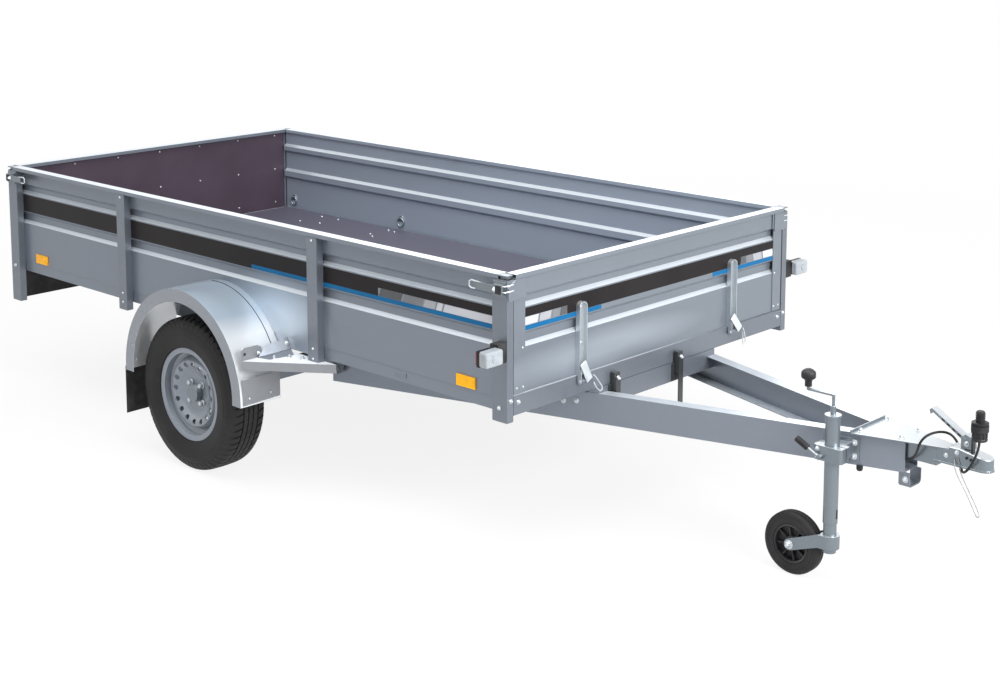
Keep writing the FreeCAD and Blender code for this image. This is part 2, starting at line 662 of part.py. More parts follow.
def left_stake(x, bottom):
    """Stake post: a channel open to the wall."""
    top = RIM_BOTTOM - POST_TOP_GAP
    half = STAKE_LENGTH / 2
    body = block((x - half, x + half), (WALL_FACE, POST_SIDE), (bottom, top))
    hollow = block((x - half + POST_WALL, x + half - POST_WALL), (WALL_FACE, POST_SIDE - POST_WALL),
                   (bottom, top))
    return body.cut(hollow)


def wheel_point(outward, radius):
    return point(AXLE_X, WHEEL_Y + outward, TYRE_RADIUS + radius)


def arc_edge(start, middle, end):
    return Part.Arc(start, middle, end).toShape()


def left_tyre():
    bead = RIM_SEAT_RADIUS + SEAT_CLEARANCE
    seat = RIM_HALF_WIDTH - BEAD_INSET
    crown = TYRE_RADIUS - 4.5
    wide = TYRE_HALF_WIDTH
    tread = TREAD_HALF_WIDTH
    t = TYRE_WALL

    def half(sign):
        return [
            wheel_point(sign * seat, bead),
            wheel_point(sign * seat, bead + 19),
            wheel_point(sign * (wide - 4), bead + 38),
            wheel_point(sign * wide, bead + 67),
            wheel_point(sign * (wide - 3), bead + 104),
            wheel_point(sign * tread, crown),
        ]

    def inner(sign):
        return [
            wheel_point(sign * (seat - t), bead),
            wheel_point(sign * (seat - t), bead + 21),
            wheel_point(sign * (wide - t - 4), bead + 40),
            wheel_point(sign * (wide - t), bead + 67),
            wheel_point(sign * (wide - t - 4), bead + 100),
            wheel_point(sign * (tread - 6), crown - t - 2),
        ]

    a, b, c, d, e, f = half(1)
    g, h, i, j, k, l = half(-1)
    m, n, o, p, q, r = inner(1)
    s, u, v, w, x, y = inner(-1)
    top = wheel_point(0, TYRE_RADIUS)
    inner_top = wheel_point(0, TYRE_RADIUS - t - 2)
    edges = [
        Part.LineSegment(a, b).toShape(), arc_edge(b, c, d), arc_edge(d, e, f),
        arc_edge(f, top, l), arc_edge(l, k, j), arc_edge(j, i, h),
        Part.LineSegment(h, g).toShape(), Part.LineSegment(g, s).toShape(),
        Part.LineSegment(s, u).toShape(), arc_edge(u, v, w), arc_edge(w, x, y),
        arc_edge(y, inner_top, r), arc_edge(r, q, p), arc_edge(p, o, n),
        Part.LineSegment(n, m).toShape(), Part.LineSegment(m, a).toShape(),
    ]
    face = Part.Face(Part.Wire(edges))
    return face.revolve(wheel_point(0, -TYRE_RADIUS + TYRE_RADIUS), Y_AXIS, 360)


def left_rim():
    """Steel wheel: barrel, dished disc with vent holes, and the wheel bolts."""
    centre = wheel_point(0, 0)
    wide = RIM_HALF_WIDTH
    flange = RIM_FLANGE_RADIUS
    seat = RIM_SEAT_RADIUS
    well = RIM_WELL_RADIUS
    sheet = RIM_SHEET
    barrel = [
        (wide, flange), (wide - 5, flange), (wide - 7, seat), (wide - 29, seat), (wide - 43, well),
        (47 - wide, well), (29 - wide, seat), (7 - wide, seat), (5 - wide, flange), (-wide, flange),
        (-wide, flange - sheet), (3 - wide, seat - sheet), (31 - wide, seat - sheet), (49 - wide, well - sheet),
        (wide - 45, well - sheet), (wide - 31, seat - sheet), (wide - 3, seat - sheet), (wide, flange - sheet),
    ]
    face = DISC_FACE
    back = DISC_FACE - DISC_SHEET
    edge = DISC_RADIUS
    hole = CAP_RADIUS + 2
    disc = [
        (face + 8, edge), (face + 24, edge - 10.5), (face + 22, edge - 26.5), (face + 8, edge - 46.5),
        (face, edge - 66.5), (face, hole), (back, hole), (back, edge - 64.5), (back + 8, edge - 42.5),
        (back + 21, edge - 24.5), (back + 23, edge - 12.5), (back - 12, edge),
    ]
    barrel_solid = turned([wheel_point(w, r) for w, r in barrel], centre, Y_AXIS)
    disc_solid = turned([wheel_point(w, r) for w, r in disc], centre, Y_AXIS)
    wheel = barrel_solid.fuse(disc_solid)
    for index in range(VENT_COUNT):
        angle = 2 * math.pi * index / VENT_COUNT
        start = point(AXLE_X + VENT_CIRCLE * math.cos(angle), WHEEL_Y + 20,
                      TYRE_RADIUS + VENT_CIRCLE * math.sin(angle))
        wheel = wheel.cut(rod(start, Y_AXIS, VENT_RADIUS, 40))
    bolts = []
    for index in range(BOLT_COUNT):
        angle = 2 * math.pi * (index + 0.5) / BOLT_COUNT
        start = point(AXLE_X + BOLT_CIRCLE * math.cos(angle), WHEEL_Y + DISC_FACE - 2,
                      TYRE_RADIUS + BOLT_CIRCLE * math.sin(angle))
        bolts.append(rod(start, Y_AXIS, BOLT_HEAD_RADIUS, 16))
    return fused([wheel] + bolts)


def left_hub():
    body = rod(point(AXLE_X, WHEEL_Y + HUB_INNER, TYRE_RADIUS), Y_AXIS, HUB_RADIUS,
               DISC_FACE - DISC_SHEET - HUB_INNER)
    cap = rod(point(AXLE_X, WHEEL_Y, TYRE_RADIUS), Y_AXIS, CAP_RADIUS, DISC_FACE + CAP_HEIGHT)
    bore = rod(point(AXLE_X, WHEEL_Y + HUB_INNER, TYRE_RADIUS), Y_AXIS, STUB_RADIUS + STUB_CLEARANCE,
               HUB_BORE_DEPTH)
    return fused([body, cap]).cut(bore)


def left_axle_arm():
    """Trailing arm of the rubber-sprung axle with its stub."""
    inner = HALF_WIDTH + ARM_GAP
    beam_x = AXLE_X + ARM_LENGTH
    arm = fused([
        rod(point(beam_x, inner, BEAM_Z), Y_AXIS, ARM_BEAM_RADIUS, ARM_WIDTH),
        rod(point(AXLE_X, inner, TYRE_RADIUS), Y_AXIS, ARM_STUB_RADIUS, ARM_WIDTH),
        along_y([(beam_x, BEAM_Z + ARM_BEAM_RADIUS - 2), (beam_x, BEAM_Z - ARM_BEAM_RADIUS + 2),
                 (AXLE_X, TYRE_RADIUS - ARM_STUB_RADIUS + 2), (AXLE_X, TYRE_RADIUS + ARM_STUB_RADIUS - 2)],
                inner, inner + ARM_WIDTH),
    ])
    stub = rod(point(AXLE_X, inner, TYRE_RADIUS), Y_AXIS, STUB_RADIUS, WHEEL_Y - inner + 10)
    shaft = rod(point(beam_x, inner - 20, BEAM_Z), Y_AXIS, 20, 20)
    return fused([arm, stub, shaft])


def axle_beam():
    """Square axle tube with its two mounting plates up to the sills."""
    half = HALF_WIDTH + ARM_GAP - 0.3
    x = AXLE_X + ARM_LENGTH
    size = BEAM_SIZE / 2
    tube = block((x - size, x + size), (-half, half), (BEAM_Z - size, BEAM_Z + size))
    tube = tube.cut(block((x - size + BEAM_WALL, x + size - BEAM_WALL), (-half, half),
                          (BEAM_Z - size + BEAM_WALL, BEAM_Z + size - BEAM_WALL)))
    pieces = [tube]
    for side in (-1, 1):
        low, high = sorted((side * AXLE_PLATE_Y, side * (AXLE_PLATE_Y + AXLE_PLATE_SHEET)))
        reach = AXLE_PLATE_HALF_LENGTH
        outline = [(x - reach, SILL_BOTTOM), (x + reach, SILL_BOTTOM), (x + size, BEAM_Z - size),
                   (x - size, BEAM_Z - size)]
        cheek = along_y(outline, low, high)
        cheek = cheek.cut(block((x - size, x + size), (low, high), (BEAM_Z - size, BEAM_Z + size)))
        foot_low, foot_high = sorted((side * AXLE_PLATE_Y, side * (SILL_FACE - 4)))
        foot = block((x - reach, x + reach), (foot_low, foot_high),
                     (SILL_BOTTOM - AXLE_FOOT_SHEET, SILL_BOTTOM))
        pieces += [cheek, foot]
    return fused(pieces)


def guard_outline(radius):
    """Outline of the mudguard's arch as a wire of two legs and a half circle."""
    return [
        Part.LineSegment(point(-radius, 0, GUARD_REAR_BOTTOM), point(-radius, 0, GUARD_CENTRE_Z)).toShape(),
        arc_edge(point(-radius, 0, GUARD_CENTRE_Z), point(0, 0, GUARD_CENTRE_Z + radius),
                 point(radius, 0, GUARD_CENTRE_Z)),
        Part.LineSegment(point(radius, 0, GUARD_CENTRE_Z), point(radius, 0, GUARD_FRONT_BOTTOM)).toShape(),
    ]


def guard_band(outer, inner, low, high):
    rear = Part.LineSegment(point(-inner, 0, GUARD_REAR_BOTTOM), point(-outer, 0, GUARD_REAR_BOTTOM)).toShape()
    front = Part.LineSegment(point(outer, 0, GUARD_FRONT_BOTTOM), point(inner, 0, GUARD_FRONT_BOTTOM)).toShape()
    inside = guard_outline(inner)
    wire = Part.Wire([rear] + guard_outline(outer) + [front] + inside[::-1])
    face = Part.Face(wire)
    face.translate(point(0, low, 0))
    return face.extrude(Y_AXIS * (high - low))


def left_mudguard():
    low = WALL_FACE + GUARD_WALL_GAP
    sheet = guard_band(GUARD_RADIUS, GUARD_RADIUS - GUARD_SHEET, low, GUARD_OUT)
    lip = guard_band(GUARD_RADIUS, GUARD_RADIUS - GUARD_LIP, GUARD_OUT - GUARD_SHEET, GUARD_OUT)
    sheet = sheet.cut(block((0, GUARD_RADIUS + 1), (low - 1, GUARD_NARROW_Y), (0, GUARD_NARROW_Z)))
    return fused([sheet, lip])


def left_mudguard_bracket():
    """Three-cornered gusset between mudguard and sill, under the stake post."""
    rear = GUARD_RADIUS + 0.3
    wall = SILL_FACE + 0.3
    slope = (GUSSET_OUT - wall) / (GUSSET_FRONT - rear)
    inner_front = GUSSET_FRONT - GUSSET_EDGE / slope
    top = along_z([(rear, wall), (GUSSET_FRONT, wall), (rear, GUSSET_OUT)], GUSSET_Z - GUARD_SHEET, GUSSET_Z)
    edge = along_z([(GUSSET_FRONT, wall), (rear, GUSSET_OUT), (rear, GUSSET_OUT - GUSSET_EDGE),
                    (inner_front, wall)], GUSSET_Z - GUSSET_FLANGE, GUSSET_Z)
    return fused([top, edge])


def left_mud_flap():
    front = -GUARD_RADIUS - 0.3
    return block((front - FLAP_THICKNESS, front), (GUARD_OUT - FLAP_WIDTH, GUARD_OUT),
                 (FLAP_BOTTOM, GUARD_REAR_BOTTOM + FLAP_OVERLAP))


def web_y(x, depth):
    """Half width of the drawbar's V at x, measured to a face depth inside the web."""
    return DRAWBAR_SLOPE * (DRAWBAR_APEX - x) - depth * math.hypot(1, DRAWBAR_SLOPE)


def left_drawbar_beam():
    """C channel that opens inwards, with the pivot bolt at its rear end."""
    def strip(depth_low, depth_high, z_low, z_high):
        return along_z([
            (DRAWBAR_REAR, web_y(DRAWBAR_REAR, depth_low)),
            (DRAWBAR_FRONT, web_y(DRAWBAR_FRONT, depth_low)),
            (DRAWBAR_FRONT, web_y(DRAWBAR_FRONT, depth_high)),
            (DRAWBAR_REAR, web_y(DRAWBAR_REAR, depth_high)),
        ], z_low, z_high)
    web = strip(0, DRAWBAR_SHEET, DRAWBAR_BOTTOM, DRAWBAR_TOP)
    top = strip(0, DRAWBAR_FLANGE, DRAWBAR_TOP - DRAWBAR_SHEET, DRAWBAR_TOP)
    low = strip(0, DRAWBAR_FLANGE, DRAWBAR_BOTTOM, DRAWBAR_BOTTOM + DRAWBAR_SHEET)
    middle = block((DRAWBAR_REAR, DRAWBAR_FRONT), (0, WALL_FACE), (0, RIM_TOP))
    channel = fused([web, top, low]).common(middle)
    y = web_y(PIVOT_X, DRAWBAR_SHEET) - 6
    bolt = rod(point(PIVOT_X, y, PIVOT_Z), Y_AXIS, PIVOT_RADIUS, 34)
    return fused([channel, bolt])


def left_pivot_bracket():
    """Plate that hangs from the floor frame and carries the drawbar's pivot bolt."""
    rear = PIVOT_X - PIVOT_PLATE_HALF_LENGTH
    front = PIVOT_X + PIVOT_PLATE_HALF_LENGTH
    low = web_y(rear, 0) + PIVOT_PLATE_GAP
    plate = along_y([(PIVOT_X - 22, PIVOT_Z - 14), (PIVOT_X + 22, PIVOT_Z - 14),
                     (front, SILL_BOTTOM), (rear, SILL_BOTTOM)], low, low + PIVOT_PLATE)
    plate = plate.fuse(rod(point(PIVOT_X, low, PIVOT_Z), Y_AXIS, PIVOT_EYE_RADIUS, PIVOT_PLATE))
    foot = block((rear, front), (low, low + PIVOT_FOOT_WIDTH), (SILL_BOTTOM - 5, SILL_BOTTOM))
    hole = rod(point(PIVOT_X, low, PIVOT_Z), Y_AXIS, PIVOT_RADIUS + HINGE_PIN_CLEARANCE, PIVOT_PLATE)
    return fused([plate, foot]).cut(hole)


def drawbar_crossmember(beams):
    """Channel across the V that the box rests on and latches to."""
    top = RAIL_BOTTOM - CROSS_TOP_GAP
    outline = [
        (RAIL_REAR, -web_y(RAIL_REAR, DRAWBAR_SHEET)), (POST_FACE, -web_y(POST_FACE, DRAWBAR_SHEET)),
        (POST_FACE, web_y(POST_FACE, DRAWBAR_SHEET)), (RAIL_REAR, web_y(RAIL_REAR, DRAWBAR_SHEET)),
    ]
    body = along_z(outline, CROSS_BOTTOM, top)
    hollow = along_z([(x - FRAME_SHEET, y) for x, y in outline], CROSS_BOTTOM + FRAME_SHEET,
                     top - FRAME_SHEET)
    body = body.cut(hollow)
    for beam in beams:
        body = body.cut(beam)
    return max(body.Solids, key=lambda solid: solid.Volume)


def drawbar_cover_plate():
    """Plate over the V's tip with its rear edge folded up."""
    plate = along_z([(COVER_REAR, -COVER_REAR_Y), (COVER_FRONT, -COVER_FRONT_Y), (COVER_FRONT, COVER_FRONT_Y),
                     (COVER_REAR, COVER_REAR_Y)], DRAWBAR_TOP, DRAWBAR_TOP + COVER_SHEET)
    fold = block((COVER_REAR, COVER_REAR + COVER_SHEET), (-COVER_REAR_Y + 2, COVER_REAR_Y - 2),
                 (DRAWBAR_TOP, DRAWBAR_TOP + COVER_FOLD))
    return fused([plate, fold])


def coupling_head():
    """Pressed head with a blind ball cup and a lip, on a square shank between the beams."""
    shank = block((SHANK_REAR, HEAD_REAR + 10), (-SHANK_HALF_WIDTH, SHANK_HALF_WIDTH),
                  (SHANK_BOTTOM, DRAWBAR_TOP - DRAWBAR_SHEET - 0.3))
    nose = NOSE_X - HEAD_HALF_WIDTH
    half = HEAD_HALF_WIDTH - HEAD_LIP
    height = HEAD_TOP - HEAD_BOTTOM
    lip = block((HEAD_REAR, nose), (-HEAD_HALF_WIDTH, HEAD_HALF_WIDTH),
                (HEAD_BOTTOM, HEAD_BOTTOM + HEAD_LIP_HEIGHT))
    lip = lip.fuse(rod(point(nose, 0, HEAD_BOTTOM), Z_AXIS, HEAD_HALF_WIDTH, HEAD_LIP_HEIGHT))
    dome = block((HEAD_REAR, nose), (-half, half), (HEAD_BOTTOM, HEAD_TOP))
    dome = fused([dome, rod(point(nose, 0, HEAD_BOTTOM), Z_AXIS, half, height)])
    slope_start = nose - 2.2 * HEAD_HALF_WIDTH
    above = along_y([(slope_start, HEAD_TOP), (NOSE_X + 1, HEAD_NOSE_TOP), (NOSE_X + 1, HEAD_TOP + 1),
                     (slope_start, HEAD_TOP + 1)], -HEAD_HALF_WIDTH, HEAD_HALF_WIDTH)
    dome = dome.cut(above)
    upper = [edge for edge in dome.Edges
             if edge.BoundBox.ZMin > HEAD_NOSE_TOP - 1 and edge.BoundBox.XMax > HEAD_REAR + 5
             and edge.BoundBox.YLength < 2 * half - 1]
    dome = dome.makeFillet(HEAD_ROUNDING, upper)
    body = lip.fuse(dome).cut(rod(point(nose, 0, HEAD_BOTTOM), Z_AXIS, BALL_RADIUS, BALL_DEPTH))
    notch = block((HEAD_REAR - 1, COVER_FRONT + 1), (-HEAD_HALF_WIDTH, HEAD_HALF_WIDTH),
                  (DRAWBAR_TOP - 0.3, HEAD_TOP + 1))
    return fused([body.cut(notch), shank])


def coupling_handle():
    """Hand lever that rises to the rear, on its pivot block."""
    block_outline = [(0, 0), (40, 0), (36, 38), (14, 45), (0, 33)]
    lever_outline = [(18, 31), (-102, 105), (-110, 99), (-106, 85), (-98, 93), (14, 21)]
    solids = []
    for outline, half in ((block_outline, HANDLE_BASE_HALF_WIDTH), (lever_outline, HANDLE_HALF_WIDTH)):
        placed = [(HANDLE_X + x, HEAD_TOP + z) for x, z in outline]
        solids.append(along_y(placed, -half, half))
    return fused(solids)


def plug_holder():
    """Ring on a bent strip that keeps the parked plug."""
    ring = rod(point(PLUG_X, PLUG_Y, HOLDER_LOW), Z_AXIS, PLUG_RADIUS + HOLDER_WALL, HOLDER_HEIGHT)
    strip_y = (PLUG_Y + 18, PLUG_Y + 34)
    leg_x = PLUG_X - HOLDER_LEG_SETBACK
    arm = block((leg_x, PLUG_X - 10), strip_y, (HOLDER_LOW + 2, HOLDER_HIGH - 2))
    leg = block((leg_x, leg_x + HOLDER_LEG_SHEET), strip_y, (HEAD_TOP - 7, HOLDER_HIGH - 2))
    body = fused([ring, arm, leg])
    return body.cut(rod(point(PLUG_X, PLUG_Y, HOLDER_LOW - 10), Z_AXIS, PLUG_RADIUS + 0.3, HOLDER_HEIGHT + 40))


def plug():
    tail = Part.makeCone(PLUG_TAIL_RADIUS, PLUG_RADIUS, PLUG_TAIL_HEIGHT,
                         point(PLUG_X, PLUG_Y, PLUG_BOTTOM), Z_AXIS)
    body = rod(point(PLUG_X, PLUG_Y, PLUG_BOTTOM + PLUG_TAIL_HEIGHT), Z_AXIS, PLUG_RADIUS,
               PLUG_BODY_HEIGHT - PLUG_TAIL_HEIGHT)
    tip = rod(point(PLUG_X, PLUG_Y, PLUG_SHOULDER), Z_AXIS, PLUG_TIP_RADIUS, PLUG_TOP - PLUG_SHOULDER)
    rounded = [edge for edge in tip.Edges if edge.BoundBox.ZMin > PLUG_TOP - 1]
    return fused([tail, body, tip.makeFillet(4, rounded)])


def tilt_latch(y, handle_drop):
    """Over-centre latch on the crossmember that hooks over the box's front rail."""
    base = block((POST_FACE, POST_FACE + 6), (y - 24, y + 24), (CROSS_BOTTOM + 4, RAIL_BOTTOM - 4))
    body = block((POST_FACE + 6, POST_FACE + 22), (y - 14, y + 14), (RAIL_BOTTOM - 39, RAIL_BOTTOM + 41))
    handle = block((POST_FACE + 22, POST_FACE + 27), (y - 12, y + 12),
                   (RAIL_BOTTOM - handle_drop, RAIL_BOTTOM + 26))
    return fused([base, body, handle])


def drawbar_rest():
    """Strip bent to a U under the drawbar's tip."""
    def loop(inset, rounding):
        body = block((REST_REAR, REST_FRONT), (-REST_HALF_WIDTH + inset, REST_HALF_WIDTH - inset),
                     (REST_BOTTOM + inset, DRAWBAR_BOTTOM))
        lower = [edge for edge in body.Edges
                 if edge.BoundBox.ZMax < REST_BOTTOM + inset + 1 and edge.BoundBox.YLength < 1]
        return body.makeFillet(rounding, lower)
    return loop(0, REST_ROUNDING).cut(loop(REST_SHEET, REST_ROUNDING - REST_SHEET))


def jockey_clamp():
    """Clamp on a flange on the right beam's web, bored for the jockey tube."""
    low_x = JOCKEY_X - CLAMP_HALF_LENGTH
    high_x = JOCKEY_X + CLAMP_HALF_LENGTH
    body = block((low_x, high_x), (CLAMP_OUT_Y, CLAMP_IN_Y), (CLAMP_BOTTOM, CLAMP_TOP))
    uprights = [edge for edge in body.Edges if edge.BoundBox.ZLength > 10]
    body = body.makeFillet(CLAMP_ROUNDING, uprights)
    neck_low = JOCKEY_X - CLAMP_NECK_HALF_LENGTH
    neck_high = JOCKEY_X + CLAMP_NECK_HALF_LENGTH
    neck = along_z([(neck_low, -web_y(neck_low, 0)), (neck_high, -web_y(neck_high, 0)),
                    (neck_high, CLAMP_IN_Y - 4), (neck_low, CLAMP_IN_Y - 4)], CLAMP_BOTTOM, CLAMP_TOP)
    flange = along_z([(low_x, -web_y(low_x, 0)), (high_x, -web_y(high_x, 0)),
                      (high_x, -web_y(high_x, -CLAMP_FLANGE_SHEET)),
                      (low_x, -web_y(low_x, -CLAMP_FLANGE_SHEET))],
                     CLAMP_FLANGE_BOTTOM, CLAMP_FLANGE_TOP)
    slit_y = (JOCKEY_Y - CLAMP_SLIT / 2, JOCKEY_Y + CLAMP_SLIT / 2)
    slit = block((JOCKEY_X, high_x), slit_y, (CLAMP_BOTTOM, CLAMP_TOP))
    bore = rod(point(JOCKEY_X, JOCKEY_Y, CLAMP_BOTTOM), Z_AXIS, JOCKEY_RADIUS + CLAMP_CLEARANCE,
               CLAMP_TOP - CLAMP_BOTTOM)
    return fused([body, neck, flange]).cut(bore).cut(slit)


def jockey_clamp_lever():
    start = point(*LEVER_ROOT)
    along = point(*LEVER_END) - start
    shaft = rod(point(LEVER_ROOT[0], CLAMP_OUT_Y - LEVER_SHAFT_LENGTH, LEVER_ROOT[2]), Y_AXIS,
                LEVER_SHAFT_RADIUS, LEVER_SHAFT_LENGTH)
    along.normalize()
    length = (point(*LEVER_END) - start).Length - LEVER_GRIP_LENGTH + LEVER_SOCKET
    arm = rod(start, along, LEVER_RADIUS, length)
    return fused([shaft, arm])


def jockey_lever_grip():
    end = point(*LEVER_END)
    back = point(*LEVER_ROOT) - end
    back.normalize()
    body = rod(end, back, LEVER_GRIP_RADIUS, LEVER_GRIP_LENGTH)
    hollow = rod(end + back * (LEVER_GRIP_LENGTH - LEVER_SOCKET - 0.2), back, LEVER_RADIUS + 0.1,
                 LEVER_SOCKET + 2)
    return body.makeFillet(4, body.Edges).cut(hollow)


def jockey_tube():
    body = rod(point(JOCKEY_X, JOCKEY_Y, JOCKEY_BOTTOM), Z_AXIS, JOCKEY_RADIUS, JOCKEY_TOP - JOCKEY_BOTTOM)
    body = body.cut(rod(point(JOCKEY_X, JOCKEY_Y, JOCKEY_BOTTOM), Z_AXIS, JOCKEY_BORE,
                        JOCKEY_TOP - JOCKEY_BOTTOM - 6))
    collar = rod(point(JOCKEY_X, JOCKEY_Y, JOCKEY_TOP - 8), Z_AXIS, JOCKEY_RADIUS + 3, 8)
    neck = rod(point(JOCKEY_X, JOCKEY_Y, JOCKEY_TOP), Z_AXIS, 9, CRANK_NECK)
    spindle = rod(point(JOCKEY_X, JOCKEY_Y, JOCKEY_TOP + CRANK_NECK), Z_AXIS, CRANK_RADIUS,
                  CRANK_RISE - CRANK_NECK)
    elbow = Part.makeSphere(CRANK_RADIUS, point(JOCKEY_X, JOCKEY_Y, CRANK_Z))
    arm = rod(point(JOCKEY_X - CRANK_ARM, JOCKEY_Y, CRANK_Z), X_AXIS, CRANK_RADIUS, CRANK_ARM)
    corner = Part.makeSphere(CRANK_RADIUS, point(JOCKEY_X - CRANK_ARM, JOCKEY_Y, CRANK_Z))
    grip = rod(point(JOCKEY_X - CRANK_ARM, JOCKEY_Y, CRANK_Z), Z_AXIS, CRANK_RADIUS, 20)
    return fused([body, collar, neck, spindle, elbow, arm, corner, grip])


def jockey_knob():
    x = JOCKEY_X - CRANK_ARM
    low = CRANK_Z + 8
    stem = rod(point(x, JOCKEY_Y, low), Z_AXIS, 11, 24)
    head = Part.makeSphere(KNOB_RADIUS, point(x, JOCKEY_Y, low + 40))
    head = head.common(block((x - 40, x + 40), (JOCKEY_Y - 40, JOCKEY_Y + 40), (low + 20, low + 60)))
    bore = rod(point(x, JOCKEY_Y, low), Z_AXIS, CRANK_RADIUS + 0.1, 12.2)
    return fused([stem, head]).cut(bore)


def jockey_fork():
    """Inner tube with the fork that trails the wheel."""
    wheel_x = JOCKEY_X - FORK_TRAIL
    axle_z = JOCKEY_WHEEL_RADIUS
    inner = JOCKEY_WHEEL_WIDTH / 2 + JOCKEY_WHEEL_GAP
    height = FORK_HIGH - FORK_LOW
    foot = point(JOCKEY_X, JOCKEY_Y, JOCKEY_INNER_BOTTOM)
    length = JOCKEY_INNER_TOP - JOCKEY_INNER_BOTTOM
    tube = rod(foot, Z_AXIS, JOCKEY_INNER_RADIUS, length)
    tube = tube.cut(rod(foot, Z_AXIS, JOCKEY_INNER_RADIUS - JOCKEY_INNER_WALL, length))
    pieces = [tube]
    side_view = [
        (wheel_x + 4, axle_z - FORK_END_RADIUS), (JOCKEY_X - 26, FORK_LOW), (JOCKEY_X, FORK_LOW),
        (JOCKEY_X, FORK_HIGH), (JOCKEY_X - 26, FORK_HIGH), (wheel_x - 6, axle_z + FORK_END_RADIUS - 1),
    ]
    for side in (-1, 1):
        low, high = sorted((JOCKEY_Y + side * inner, JOCKEY_Y + side * (inner + FORK_SHEET)))
        pieces.append(along_y(side_view, low, high))
        pieces.append(rod(point(wheel_x, low, axle_z), Y_AXIS, FORK_END_RADIUS, FORK_SHEET))
    middle = point(JOCKEY_X, JOCKEY_Y, FORK_LOW)
    ring = rod(middle, Z_AXIS, inner + FORK_SHEET, height)
    ring = ring.cut(rod(middle, Z_AXIS, JOCKEY_INNER_RADIUS - 1, height))
    ring = ring.cut(block((JOCKEY_X - 60, JOCKEY_X - 26), (JOCKEY_Y - 60, JOCKEY_Y + 60),
                          (FORK_LOW, FORK_HIGH)))
    reach = inner + FORK_SHEET + 6
    pieces.append(ring)
    pieces.append(rod(point(wheel_x, JOCKEY_Y - reach, axle_z), Y_AXIS, JOCKEY_AXLE_RADIUS, 2 * reach))
    return fused(pieces)


def jockey_tyre():
    x = JOCKEY_X - FORK_TRAIL
    half = JOCKEY_WHEEL_WIDTH / 2
    crown = JOCKEY_WHEEL_RADIUS
    outline = [
        (-half + 6, JOCKEY_HUB_RADIUS + 0.3), (half - 6, JOCKEY_HUB_RADIUS + 0.3), (half, crown - 25),
        (half, crown - 12), (half - 8, crown - 3), (half - 14, crown), (-half + 14, crown),
        (-half + 8, crown - 3), (-half, crown - 12), (-half, crown - 25),
    ]
    points = [point(x, JOCKEY_Y + w, JOCKEY_WHEEL_RADIUS + r) for w, r in outline]
    return turned(points, point(x, JOCKEY_Y, JOCKEY_WHEEL_RADIUS), Y_AXIS)


def jockey_hub():
    x = JOCKEY_X - FORK_TRAIL
    half = JOCKEY_WHEEL_WIDTH / 2
    bore = JOCKEY_AXLE_RADIUS + 0.1
    outer = JOCKEY_HUB_RADIUS
    root = JOCKEY_AXLE_RADIUS + 16
    boss = JOCKEY_AXLE_RADIUS + 12
    outline = [
        (6 - half, outer), (half - 6, outer), (half - 6, outer - 6), (6, outer - 10), (6, root), (half, boss),
        (half, bore), (-half, bore), (-half, boss), (-6, root), (-6, outer - 10), (6 - half, outer - 6),
    ]
    points = [point(x, JOCKEY_Y + w, JOCKEY_WHEEL_RADIUS + r) for w, r in outline]
    return turned(points, point(x, JOCKEY_Y, JOCKEY_WHEEL_RADIUS), Y_AXIS)


def light_board():
    x = (-LIGHT_BOARD_X - LIGHT_BOARD_SHEET, -LIGHT_BOARD_X)
    half = WALL_FACE - 0.3
    return block(x, (-half, half), (REAR_POST_BOTTOM + LIGHT_BOARD_RISE, RAIL_BOTTOM))


def left_rear_lamp():
    high = -LIGHT_BOARD_X - LIGHT_BOARD_SHEET
    end = WALL_FACE - LAMP_END_GAP
    return block((high - LAMP_DEPTH, high), (end - LAMP_LENGTH, end),
                 (REAR_POST_BOTTOM + LAMP_BOTTOM_GAP, RAIL_BOTTOM - LAMP_TOP_GAP))


def number_plate():
    high = -LIGHT_BOARD_X - LIGHT_BOARD_SHEET
    return block((high - PLATE_SHEET, high), (-PLATE_HALF_LENGTH, PLATE_HALF_LENGTH),
                 (REAR_POST_BOTTOM + PLATE_BOTTOM_GAP, RAIL_BOTTOM - PLATE_TOP_GAP))


def left_marker_arm():
    return block((POST_FACE - 38, POST_FACE - 2), (POST_SIDE, POST_SIDE + MARKER_ARM_REACH),
                 (MARKER_Z - 32, MARKER_Z + 33))


def left_marker_lamp():
    low = POST_SIDE + MARKER_ARM_REACH
    lens = block((POST_FACE - 24, POST_FACE + 24), (low, low + MARKER_LENGTH), (MARKER_Z - 26, MARKER_Z + 26))
    return lens.makeFillet(MARKER_ROUNDING, lens.Edges)


def left_corner_latch():
    """Over-centre latch on the corner post."""
    z = CORNER_LATCH_Z
    base = block((POST_FACE - 60, POST_FACE - 4), (POST_SIDE, POST_SIDE + 4), (z - 25, z + 25))
    body = block((POST_FACE - 50, POST_FACE - 10), (POST_SIDE + 4, POST_SIDE + 16), (z - 17, z + 17))
    lever = block((POST_FACE - 128, POST_FACE - 30), (POST_SIDE + 12, POST_SIDE + 16), (z - 13, z + 13))
    return fused([base, body, lever])


def left_reflector(x):
    half_length = REFLECTOR_LENGTH / 2
    half_height = REFLECTOR_HEIGHT / 2
    return block((x - half_length, x + half_length), (WALL_FACE, WALL_FACE + REFLECTOR_DEPTH),
                 (REFLECTOR_Z - half_height, REFLECTOR_Z + half_height))


def left_ring(x):
    """Lashing ring that lies against the inside of the wall on a round plate."""
    wall = WALL_FACE - SHEET
    plate = rod(point(x, wall - 3, RING_Z + 10), Y_AXIS, 15, 3)
    ring = Part.makeTorus(RING_RADIUS, RING_WIRE, point(x, wall - 5.5, RING_Z - 6), Y_AXIS)
    return fused([plate, ring])


